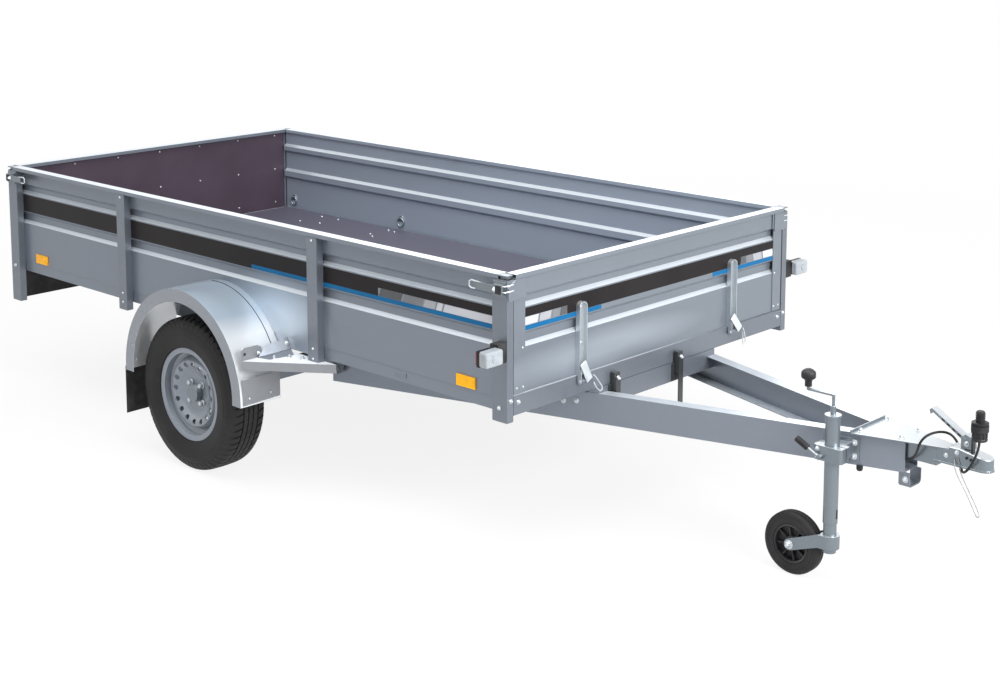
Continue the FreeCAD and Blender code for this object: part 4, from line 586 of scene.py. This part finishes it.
plug_parts = Shape()
plug_parts.lathe((PLUG_X, PLUG_Y, 556), (0, 0, 1),
                 [(0, 22.5), (3, 24.5), (6, 24.5), (9, 22.5)], 28)
plug_parts.lathe((PLUG_X, PLUG_Y, 606), (0, 0, 1),
                 [(0, 22.5), (2, 26.5), (8, 26.5), (10, 22.5)], 28)
for angle in around(12):
    x = PLUG_X + PLUG_RIB_CIRCLE * math.cos(angle)
    y = PLUG_Y + PLUG_RIB_CIRCLE * math.sin(angle)
    plug_parts.block((x - 1.6, y - 1.6, 566), (x + 1.6, y + 1.6, 604), 0.6,
                     (0, 0, math.degrees(angle)))
for ring in (619, 626, 633, 640):
    plug_parts.lathe((PLUG_X, PLUG_Y, ring), (0, 0, 1),
                     [(0, 12.5), (1.2, 15), (3.2, 15), (4.4, 12.5)], 22)
plug_parts.block((2774, -54, 576), (2780, -38, 602), 2)
plug_body = plug_parts.done("plug_ribs", "drawbar", PLASTIC, "black_plastic")


# The stripes of film on the walls and the front gate, with the places of all words left bare.
# The black band runs over the whole height, or stops above the blue line and the grey blocks.

FILM = 0.5
FILM_LIFT = 0.05
BAND_BOTTOM, BLUE_TOP, HALF_BOTTOM, BAND_TOP = 793, 809, 838, 868
BLOCK_BOTTOM, BLOCK_TOP = 810, 837
WALL_LEAN = 10
GATE_LEAN = 6
BLOCK_RUNS = ((884, 996), (1004, 1100), (1108, 1162), (1170, 1196))
GATE_BLOCK_RUNS = ((646, 712), (583, 638), (543, 575), (502, 535))


def stripes(name, runs, place, body, material, slot):
    """Stripes of film; each run is its two ends, its bottom and top, and how far the top leans."""
    shape = Shape()
    for start, end, bottom, top, lean in runs:
        shape.slab([place(start, bottom), place(end, bottom), place(end + lean, top),
                    place(start + lean, top)], FILM)
    shape.done(name, body, material, slot)


def on_wall(side):
    """Places for film on a side wall. Film thickens to the right, so the left one starts out."""
    y = side * (WALL_FACE + FILM_LIFT + (FILM if side > 0 else 0))
    return lambda x, z: (x, y, z)


def on_gate(y, z):
    """A place for film on the front gate's outer face."""
    return (GATE_FACE + FILM_LIFT, y, z)


for side, name in SIDES:
    wall = on_wall(side)
    stripes("band_black_" + name,
            [(-1459, -685, BAND_BOTTOM, BAND_TOP, 0), (-625, 170, BAND_BOTTOM, BAND_TOP, 0),
             (170, 527, BLUE_TOP, BAND_TOP, 0), (587, 880, BLUE_TOP, BAND_TOP, 0),
             (880, 1460, HALF_BOTTOM, BAND_TOP, 0)],
            wall, "box", BLACK_FILM, "band_black")
    stripes("band_blue_" + name,
            [(170, 527, BAND_BOTTOM, BLUE_TOP, 0), (587, 1460, BAND_BOTTOM, BLUE_TOP, 0)],
            wall, "box", BLUE_FILM, "band_blue")
    for index, (start, end) in enumerate(BLOCK_RUNS):
        stripes("band_block_%d_%s" % (index, name),
                [(start, end, BLOCK_BOTTOM, BLOCK_TOP, WALL_LEAN)],
                wall, "box", GREYS[index], "band_grey")
    stripes("band_end_" + name, [(1204, 1450, BLOCK_BOTTOM, BLOCK_TOP, WALL_LEAN)],
            wall, "box", GREYS[3], "band_grey")

stripes("band_black_front",
        [(-715, 715, HALF_BOTTOM, BAND_TOP, 0), (-498, 498, BLUE_TOP, HALF_BOTTOM, 0)],
        on_gate, "front_gate", BLACK_FILM, "band_black")
stripes("band_blue_front",
        [(-715, -320, BAND_BOTTOM, BLUE_TOP - 1, 0), (320, 715, BAND_BOTTOM, BLUE_TOP - 1, 0)],
        on_gate, "front_gate", BLUE_FILM, "band_blue")
for index, (inner, outer) in enumerate(GATE_BLOCK_RUNS):
    stripes("band_block_%d_front" % index,
            [(-outer, -inner, BLOCK_BOTTOM, BLOCK_TOP, GATE_LEAN),
             (inner, outer, BLOCK_BOTTOM, BLOCK_TOP, -GATE_LEAN)],
            on_gate, "front_gate", GREYS[3 - index], "band_grey")


# Tyres, with grooves, sidewall rings and slanted shoulder slots.

SHOULDER_WIDTH = (36, 75)
SHOULDER_FROM = 272
TREAD_FROM = 292
RIB_WIDTH = 30
RIB_FROM = 297


def slot_depth(width, radius):
    """How deep a slot cuts into the road tyre at a place of its section."""
    if SHOULDER_WIDTH[0] <= abs(width) <= SHOULDER_WIDTH[1] and radius > SHOULDER_FROM:
        return 5.0 if radius > TREAD_FROM else 2.2
    if abs(width) < RIB_WIDTH and radius > RIB_FROM:
        return 1.6
    return 0.0


def tyre(name, centre, half, pitches, slots, slant, body, node):
    """half is (distance from the middle, radius) from the bead to the middle of the tread.

    Each pitch of the tread has the columns of slots, as (part of the pitch, cut or not).
    """
    section = [(-w, r) for w, r in half] + [(w, r) for w, r in half[-2::-1]]
    columns = []
    for k in range(pitches):
        for part, cut in slots:
            columns.append((2 * math.pi * (k + part) / pitches, cut))
    shape = Shape()
    rings = []
    for angle, cut in columns:
        ring = []
        for w, r in section:
            radius = r - slot_depth(w, r) if cut else r
            turned = angle + slant * w
            ring.append((centre[0] + radius * math.cos(turned), centre[1] + w,
                         centre[2] + radius * math.sin(turned)))
        rings.append(ring)
    shape.rings(rings, True)
    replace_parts(shape.done(name, body, TYRE, "tyre_rubber", 30.0), node)


ROAD_HALF = [
    (50, 167), (59, 165.4), (63, 168), (66, 176), (67.5, 183), (71.5, 184), (72.5, 189),
    (75.5, 196), (79, 208), (81.5, 221), (83, 233), (83, 236), (82, 237.5), (82, 242),
    (82.6, 243.5), (81, 254), (78.6, 262), (77.6, 263), (77.4, 268), (75, 275), (71.5, 283),
    (67, 289.5), (62, 293.6), (56, 295.8), (48, 297), (40, 297.5), (36, 297.7), (35.4, 290.5),
    (31, 290.5), (30.4, 297.9), (20, 298.2), (13, 298.4), (12.4, 291), (8.6, 291), (8, 298.5),
    (0, 298.5),
]
ROAD_SLOTS = ((0.0, False), (0.70, False), (0.74, True), (0.96, True))
JOCKEY_HALF = [
    (20, 66.2), (23.5, 67), (24.4, 71), (24.9, 78), (24.9, 83), (23.8, 84.5), (23.8, 87.5),
    (24.6, 89), (23.6, 96), (20, 101.6), (15.5, 104.2), (9.6, 105), (9, 103.2), (7, 103.2),
    (6.4, 105), (0, 105),
]
for side, name in SIDES:
    tyre("road_tyre_" + name, (WHEEL_X, side * WHEEL_Y, WHEEL_Z), ROAD_HALF, 60, ROAD_SLOTS, 0.0011,
         "wheel_" + name, "tyre_" + name)
tyre("jockey_tyre_ring", (JOCKEY_X, JOCKEY_Y, JOCKEY_RADIUS), JOCKEY_HALF, 96, ((0.0, False),), 0.0,
     "jockey_wheel", "jockey_tyre")

# The jockey wheel's hub: a boss and eight spokes on each face, in a moulded ring.

SPOKE_COUNT = 8
SPOKE_TURN = 10
SPOKE_CIRCLE = 41
SPOKE_HALF_LENGTH = 20
SPOKE_HALF_WIDTH = 2.6

hub = Shape()
for away in (-1, 1):
    hub.lathe((JOCKEY_X, JOCKEY_Y, JOCKEY_RADIUS), (0, away, 0),
              [(0, 60), (6, 60), (6, 24), (20, 24), (22, 22), (24, 14)], 48)
    for k in range(SPOKE_COUNT):
        turn = 360 / SPOKE_COUNT * k + SPOKE_TURN
        x = JOCKEY_X + SPOKE_CIRCLE * math.cos(math.radians(turn))
        z = JOCKEY_RADIUS + SPOKE_CIRCLE * math.sin(math.radians(turn))
        hub.block((x - SPOKE_HALF_LENGTH, JOCKEY_Y + away * 4, z - SPOKE_HALF_WIDTH),
                  (x + SPOKE_HALF_LENGTH, JOCKEY_Y + away * 18, z + SPOKE_HALF_WIDTH),
                  0.8, (0, -turn, 0))
section = [(-23, 58), (-24, 60), (-24, 65), (-21, 66), (21, 66), (24, 65), (24, 60), (23, 58)]
hub.rings([[(JOCKEY_X + r * math.cos(a), JOCKEY_Y + w, JOCKEY_RADIUS + r * math.sin(a))
            for w, r in section] for a in around(72)], True)
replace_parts(hub.done("jockey_spoked_hub", "jockey_wheel", PLASTIC, "black_plastic"), "jockey_hub")

# The road wheels' bolts and tyre valves.

BOLT_CIRCLE = 49
BOLT_FACE = WHEEL_Y + 30

for side, name in SIDES:
    face = side * BOLT_FACE
    studs = Shape()
    for quarter in (45, 135, 225, 315):
        a = math.radians(quarter)
        place = (WHEEL_X + BOLT_CIRCLE * math.cos(a), face, WHEEL_Z + BOLT_CIRCLE * math.sin(a))
        studs.lathe(place, (0, side, 0), [(-2, 12.5), (2, 12.5), (4, 10)], 20)
        studs.lathe(place, (0, side, 0), [(1, 9.8), (13, 9.8), (15, 8.4)], 6)
    studs.done("wheel_bolts_" + name, "wheel_" + name, BOLT, "zinc_bright")
    valve = Shape()
    stem = ((118, -12, -62), (112, 6, -59), (106, 20, -56))
    valve.rod([(WHEEL_X + x, face + side * y, WHEEL_Z + z) for x, y, z in stem], 4.2, 12)
    valve.done("valve_" + name, "wheel_" + name, RUBBER, "black_rubber")


# Mudguards: a thin black rod as painted shadow along the seam, the front plate, the lug and the
# bracket on the gusset.

PLATE = [(366.2, 975, 340), (366.2, 800, 345), (366.2, 800, 440), (366.2, 975, 440)]
LUG = [(366.6, 978, 512), (366.6, 884, 512), (366.6, 884, 549), (366.6, 905, 560),
       (366.6, 966, 560), (366.6, 976, 553)]
STAY = [(371, 905, 513), (372, 868, 552), (388, 778, 568), (408, 778, 527)]
STAY_FOOT = [(371, 905, 513), (408, 778, 527), (440, 792, 513.5), (424, 892, 513.5)]


def on_side(outline, side, way=1):
    """An outline given for the left side, on one side; way -1 turns its normal over."""
    return [(x, side * y, z) for x, y, z in outline][::side * way]


seam_shadows, plates, stays, bolts = Shape(), Shape(), Shape(), Shape()
for side, name in SIDES:
    # Painted shadow: a thin black rod along the guard's edge stands for the dark line of the seam.
    seam_shadows.rod(arc((0, side * 801, GUARD_Z), GUARD_RADIUS + 0.4, 96, 26, 40), 1.5, 6)
    plates.slab(on_side(PLATE, side), 2.0)
    plates.slab(on_side(LUG, side), 3.0)
    stays.slab(on_side(STAY, side), 2.5)
    stays.slab(on_side(STAY_FOOT, side, -1), 2.0)
    for y, z in ((945, 365), (847, 369)):
        bolts.rivet((368.2, side * y, z), (1, 0, 0), 5.5)
    bolts.bolt((369.6, side * 900, 530), (1, 0, 0), 10, 3)
    for x, y, z in ((420, 868, 513), (452, 822, 512), (500, 800, 512)):
        bolts.bolt((x, side * y, z), (0, 0, 1), 11, 3)
    bolts.rivet((375.5, side * 858, 540), (1, 0.15 * side, 0.1), 5.5)
    bolts.bolt((398, side * 790, 549), (1, 0.15 * side, 0.4), 9, 2)
    for z in (364, 430):
        bolts.rivet((-364.4, side * 935, z), (1, 0, 0), 5.0)
    for y in (900, 955):
        bolts.rivet((-370.3, side * y, 341), (-1, 0, 0), 5.0)
    # Painted shade: a black disc on the lug stands for the shaded inside of its hole.
    hole = Shape()
    hole.lathe((369.0, side * 963, 536), (1, 0, 0), [(0, 5.5), (0.8, 5.5)], 20)
    hole.done("lug_hole_" + name, "box", PLASTIC, "black_plastic")
seam_shadows.done("mudguard_seam_shadows", "box", RUBBER, "black_rubber")
stays.done("mudguard_stays", "box", FRAME, "galvanised_steel")
plates.done("mudguard_plates", "box", GUSSET, "galvanised_steel")

# Rivets and bolts of the box and its floor.

for end, side in CORNERS:
    for y, z in ((780, 570), (743, 560)):
        bolts.bolt((end * POST_FACE, side * y, z), (end, 0, 0), 9, 1)
    bolts.bolt((end * 1494, side * (POST_SIDE + 1), 545), (0, side, 0), 9, 1)
for side in (-1, 1):
    for x in STAKE_X:
        for z in (962, 560, 522):
            bolts.rivet((x, side * POST_SIDE, z), (0, side, 0), 5.0)
for x in (-1150, -620, 520, 1020):
    for y in (-700, -560, -300, -100, 100, 300, 560, 700):
        bolts.rivet((x, y, FLOOR_TOP), (0, 0, 1), 5.5)
for x in (-1036, -668):
    for y in (-708, -590, 590, 708):
        bolts.rivet((x, y, FLOOR_TOP), (0, 0, 1), 5.5)
bolts.done("box_fasteners", "box", BOLT, "zinc_bright")

clips = Shape()
for side in (-1, 1):
    clips.block((969, side * 766.0, 539), (1019, side * 768.8, 555), 0.8)
clips.done("sill_clips", "box", ZINC, "zinc_bright")

# Painted shade: thin black slabs in the gaps between the gates, the posts and the rims stand for
# the shadow in them.

gap_shadows = Shape()
for end, side in CORNERS:
    gap_shadows.block((end * 1521.0, side * 764.4, 590), (end * 1523.5, side * 766.6, 974), 0)
    gap_shadows.block((end * 1506, side * 766, 975.2), (end * 1528.4, side * 792, 976.4), 0)
gap_shadows.done("corner_gap_shadows", "box", RUBBER, "black_rubber")

# The gates' rivets, corner plates, foot clips and wire rings. The rings hang on the box, clear of
# the gate's swing. FEET is each clip's middle and lean, and the ring's route as (y, z).

FEET = (
    (-430, 28, ((-391, 554), (-376, 531), (-357, 515), (-347, 519),
                (-348, 531), (-366, 553), (-384, 574), (-394, 581))),
    (438, 40, ((479, 556), (480, 530), (482, 510), (490, 502),
               (497, 508), (497, 526), (490, 553), (481, 572))),
)
GATES = (
    (1, "front_gate", (1549.6, 1553.4), 1552.0, 2.0),
    (-1, "rear_gate", (-1548.9, -1546.0), -1546.8, 1.8),
)

for end, gate, clip_x, ring_x, wire in GATES:
    pins, clip, ring, corner = Shape(), Shape(), Shape(), Shape()
    for side in (-1, 1):
        for y, z in ((721, 738), (750, 607), (719, 606), (716, 970), (748, 944), (716, 927)):
            pins.rivet((end * STILE_FACE, side * y, z), (end, 0, 0), 4.0)
        for z in (822, 696):
            pins.rivet((end * STILE_FACE, side * STRAP_Y, z), (end, 0, 0), 6.5)
        corner.block((end * 1526.2, side * 700, 916), (end * 1527.0, side * 790, 974), 0.3)
    for middle, lean, points in FEET:
        clip.block((clip_x[0], middle - 15, 562), (clip_x[1], middle + 15, 638), 1.4, (lean, 0, 0))
        clip.lathe((end * 1546, middle, 602), (end, 0, 0), [(0, 6), (2.8, 6), (2.9, 5)], 16)
        ring.rod([(ring_x, y, z) for y, z in points], wire, 8)
    pins.done(gate + "_rivets", gate, BOLT, "zinc_bright")
    clip.done(gate + "_clips", gate, BRIGHT, "zinc_bright")
    corner.done(gate + "_corners", gate, GATE, "galvanised_steel")
    ring.done(gate + "_rings", "box", BRIGHT, "steel_wire")

board_pins = Shape()
for z in (962, 790, 620):
    for k in range(7):
        board_pins.rivet((-1512.5, -700 + 1400 * k / 6, z), (1, 0, 0), 4.5)
board_pins.done("rear_board_rivets", "rear_gate", BOLT, "zinc_bright")

# Corner latches: the wire lever's loop and the two pulling wires.

LATCH_Y = 811
LATCH_LOOP = ((1402, 932), (1380, 931), (1371, 936), (1371, 952),
              (1381, 958), (1404, 956), (1466, 950), (1466, 938))
LATCH_PULL = ((1470, LATCH_Y, 0), (1512, 810, 2), (1525, 806, 3), (1531, 795, 4), (1531, 770, 5))

loops = Shape()
for end, side in CORNERS:
    loops.rod([(end * x, side * LATCH_Y, z) for x, z in LATCH_LOOP], 2.6, 8, True)
    for low in (934, 954):
        loops.rod([(end * x, side * y, low + z) for x, y, z in LATCH_PULL], 2.2, 8)
    loops.bolt((end * 1488, side * 814, 944), (0, side, 0), 10, 2)
loops.done("latch_wires", "box", BRIGHT, "zinc_bright")

# Front markers, the caps of the corner latches, and the rear lamps.

marker, backs, rear_lenses = Shape(), Shape(), Shape()
for side in (-1, 1):
    marker.lathe((1552.6, side * 880, 737), (1, 0, 0),
                 [(-1, 11), (1.5, 11), (2.2, 9.5), (2.3, 4), (3.6, 3.4)], 24)
    backs.block((1500, side * 836, 712), (1530, side * 851, 762), 3)
    backs.block((1504, side * 836.5, 709.5), (1519, side * 917.5, 764.5), 4)
    rear_lenses.block((1498, side * 842, 715), (1505, side * 914, 759), 3)
for end, side in CORNERS:
    backs.block((end * 1492, side * 812, 930), (end * 1514, side * 818.5, 957), 2)
marker.done("marker_studs", "box", CLEAR, "clear_lens")
backs.done("marker_backs", "box", PLASTIC, "black_plastic")
rear_lenses.done("marker_rear_lenses", "box", RED, "red_lens")

LAMP_BOTTOM, LAMP_TOP = 400, 508
housing, reds, ambers, clears = Shape(), Shape(), Shape(), Shape()
LENSES = (
    (ambers, 678, 746, LAMP_BOTTOM, LAMP_TOP),
    (reds, 606, 675, LAMP_BOTTOM, LAMP_TOP),
    (reds, 534, 603, 456, LAMP_TOP),
    (clears, 534, 603, LAMP_BOTTOM, 453),
)
for side in (-1, 1):
    housing.block((-1540, side * 530, LAMP_BOTTOM - 4), (-1512, side * 750, LAMP_TOP + 4), 4)
    for lenses, inner, outer, bottom, top in LENSES:
        lenses.block((-1547.8, side * inner, bottom), (-1538, side * outer, top), 3)
    for y in (540, 740):
        housing.lathe((-1512, side * y, 504), (-1, 0, 0), [(0, 4), (29, 4), (30, 3)], 12)
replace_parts(housing.done("rear_lamp_housings", "box", PLASTIC, "black_plastic"), "rear_lamps")
reds.done("rear_lamp_red", "box", RED, "red_lens")
ambers.done("rear_lamp_amber", "box", AMBER, "amber_lens")
clears.done("rear_lamp_clear", "box", CLEAR, "clear_lens")

# Drawbar: the bolts of its beams, cover, head and jockey clamp.

def beam_y(x):
    """How far a beam's outer face is from the middle line at x."""
    return BEAM_SPLAY * (BEAM_NOSE_X - x)


pins = Shape()
for x, y in ((2402, -70), (2529, -37), (2533, 64), (2407, 97)):
    pins.bolt((x, y, 498), (0, 0, 1), 12, 3)
for side in (-1, 1):
    out = (BEAM_SPLAY, side, 0)
    for x, z in ((1399, 452), (1447, 459)):
        pins.bolt((x, side * beam_y(x), z), out, 11, 2)
    for x, z in ((2681, 476), (2717, 493)):
        pins.bolt((x, side * 29, z), (0, side, 0), 9, 2)
    pins.bolt((2741, side * 14, 524), (0, side, 0), 10, 2)
    for x in (1596, 1855, 2106):
        pins.lathe((x, side * (beam_y(x) - 16), 389), (0, 0, -1),
                   [(-0.5, 9), (1.2, 9), (1.6, 7)], 18)
    pins.bolt((2548, side * 38, 365), (0, side, 0), 12, 2)
for x, z in ((2322, 464), (2392, 464), (2392, 418)):
    pins.bolt((x, -beam_y(x) - 6, z), (BEAM_SPLAY, -1, 0), 12, 5)
for z in (430, 455):
    pins.bolt((2320, -196, z), (0, -1, 0), 9, 2)
for y in (-262, 95):
    pins.bolt((1553, y, 540), (1, 0, 0), 11, 3)
pins.done("drawbar_bolts", "drawbar", BOLT, "zinc_bright")

# Painted shade: thin black slabs and discs stand for the shaded insides of the slots along the
# coupling's handle and the holes in the sides of its head.

HANDLE_FOOT = (2738, 533)
HANDLE_RISE = (-0.846, 0.533)

slots = Shape()
along, across = Vector((-5.1, 0, 3.2)), Vector((1.3, 0, 2.0))
for side in (-1, 1):
    for step in (26, 48, 70, 92):
        middle = Vector((HANDLE_FOOT[0] + HANDLE_RISE[0] * step, side * 16,
                         HANDLE_FOOT[1] + HANDLE_RISE[1] * step))
        outline = [middle - along - across, middle + along - across,
                   middle + along + across, middle - along + across]
        slots.slab(outline[::side], 0.4)
    for x, z in ((2752, 484), (2766, 481)):
        slots.lathe((x, side * 31.6, z), (0, side, 0), [(0, 4.5), (0.7, 4.5)], 16)
slots.done("coupling_slots", "drawbar", PLASTIC, "black_plastic")

# The rubber buffer below the beam, the jockey wheel's axle bolt, the crank's knob, and painted
# shade in the tube's notch: a thin black slab.

nub = Shape()
nub.lathe((2408, -81, 389.5), (0, 0, -1), [(0, 11), (12, 10.5), (16, 9), (18, 6)], 20)
nub.done("beam_buffer", "drawbar", RUBBER, "black_rubber")

axle = Shape()
for y, way in ((-196, -1), (-132, 1)):
    axle.bolt((JOCKEY_X, y, JOCKEY_RADIUS), (0, way, 0), 17, 5)
axle.done("jockey_axle_bolt", "jockey_fork", BOLT, "zinc_bright")

KNOB_RIB_CIRCLE = 22.4
KNOB_PROFILE = [(0.1, 9), (1.5, 11.5), (18, 11.5), (23, 14), (28, 21.5), (31, 23.8), (45, 23.8),
                (50, 22), (53, 17), (55, 16), (57, 12), (59, 8), (59.8, 3)]

knob = Shape()
knob.lathe((CRANK_X, JOCKEY_Y, 639), (0, 0, 1), KNOB_PROFILE, 32)
for angle in around(10):
    x = CRANK_X + KNOB_RIB_CIRCLE * math.cos(angle)
    y = JOCKEY_Y + KNOB_RIB_CIRCLE * math.sin(angle)
    knob.block((x - 1.4, y - 2.2, 671), (x + 1.4, y + 2.2, 684), 0.6, (0, 0, math.degrees(angle)))
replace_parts(knob.done("crank_knob", "jockey_tube", PLASTIC, "black_plastic"), "jockey_knob")

notch = Shape()
notch.block((2378.5, -168, 225), (2380.6, -160, 256), 0.6)
notch.done("tube_notch", "jockey_tube", RUBBER, "black_rubber")


# Light: a bright even studio, with three area lamps placed in metres.

def area(name, place, target, size, power):
    """A rectangular lamp that looks at target."""
    data = bpy.data.lights.new(name, "AREA")
    data.shape = "RECTANGLE"
    data.size, data.size_y = size
    data.energy = power
    obj = bpy.data.objects.new(name, data)
    bpy.context.scene.collection.objects.link(obj)
    obj.location = place
    obj.rotation_mode = "QUATERNION"
    obj.rotation_quaternion = (Vector(target) - Vector(place)).to_track_quat("-Z", "Y")


area("key_light", (0.6, -2.2, 5.8), (0.0, 0.0, 0.6), (5.5, 3.5), 300)
area("front_light", (6.5, -0.5, 3.4), (0.8, 0.0, 0.6), (4.0, 3.0), 540)
area("back_light", (-3.0, 4.5, 4.5), (0.0, 0.0, 0.6), (4.0, 2.0), 110)


def seen_rays(tree):
    """1 for rays from the camera, off a mirror or through glass, and 0 for all others."""
    rays = tree.nodes.new("ShaderNodeLightPath")
    seen = rays.outputs["Is Camera Ray"]
    for kind in ("Is Glossy Ray", "Is Transmission Ray"):
        either = tree.nodes.new("ShaderNodeMath")
        either.operation = "MAXIMUM"
        tree.links.new(seen, either.inputs[0])
        tree.links.new(rays.outputs[kind], either.inputs[1])
        seen = either.outputs[0]
    return seen


# The world is white where it is seen, and lights the trailer at half that strength.

world = bpy.data.worlds.new("studio")
bpy.context.scene.world = world
world.use_nodes = True
tree = world.node_tree
background = tree.nodes["Background"]
background.inputs["Color"].default_value = (1.0, 1.0, 1.0, 1.0)
strength = tree.nodes.new("ShaderNodeMapRange")
strength.inputs["To Min"].default_value = 0.5
strength.inputs["To Max"].default_value = 1.0
tree.links.new(seen_rays(tree), strength.inputs["Value"])
tree.links.new(strength.outputs["Result"], background.inputs["Strength"])

# The floor keeps a share of the shadow near the trailer and turns white farther out.

FLOOR_HALF = 30.0
SHADOW_REACH = (2.6, 7.0)
FLOOR_GLOW = (0.86, 1.0)

floor = bmesh.new()
bmesh.ops.create_grid(floor, x_segments=1, y_segments=1, size=FLOOR_HALF)
floor_mesh = bpy.data.meshes.new("studio_floor")
floor.to_mesh(floor_mesh)
floor.free()
floor_object = bpy.data.objects.new("studio_floor", floor_mesh)
bpy.context.scene.collection.objects.link(floor_object)
floor_object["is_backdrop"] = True
ground = Shader("studio_white")
ground.set(Base_Color=(0.82, 0.82, 0.82, 1.0), Roughness=0.9)
lit = ground.node("ShaderNodeEmission")
lit.inputs["Strength"].default_value = 1.0
reach = ground.node("ShaderNodeVectorMath", operation="LENGTH")
ground.link(ground.coords, reach.inputs[0])
share = ground.ranged(reach.outputs["Value"], *FLOOR_GLOW, *SHADOW_REACH)
blend = ground.node("ShaderNodeMixShader")
ground.link(ground.math("MULTIPLY", seen_rays(ground.tree), share), blend.inputs[0])
ground.link(ground.bsdf.outputs[0], blend.inputs[1])
ground.link(lit.outputs[0], blend.inputs[2])
ground.link(blend.outputs[0], ground.tree.nodes["Material Output"].inputs["Surface"])
floor_mesh.materials.append(ground.material)

bpy.context.scene.view_settings.view_transform = "Standard"

low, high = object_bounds()
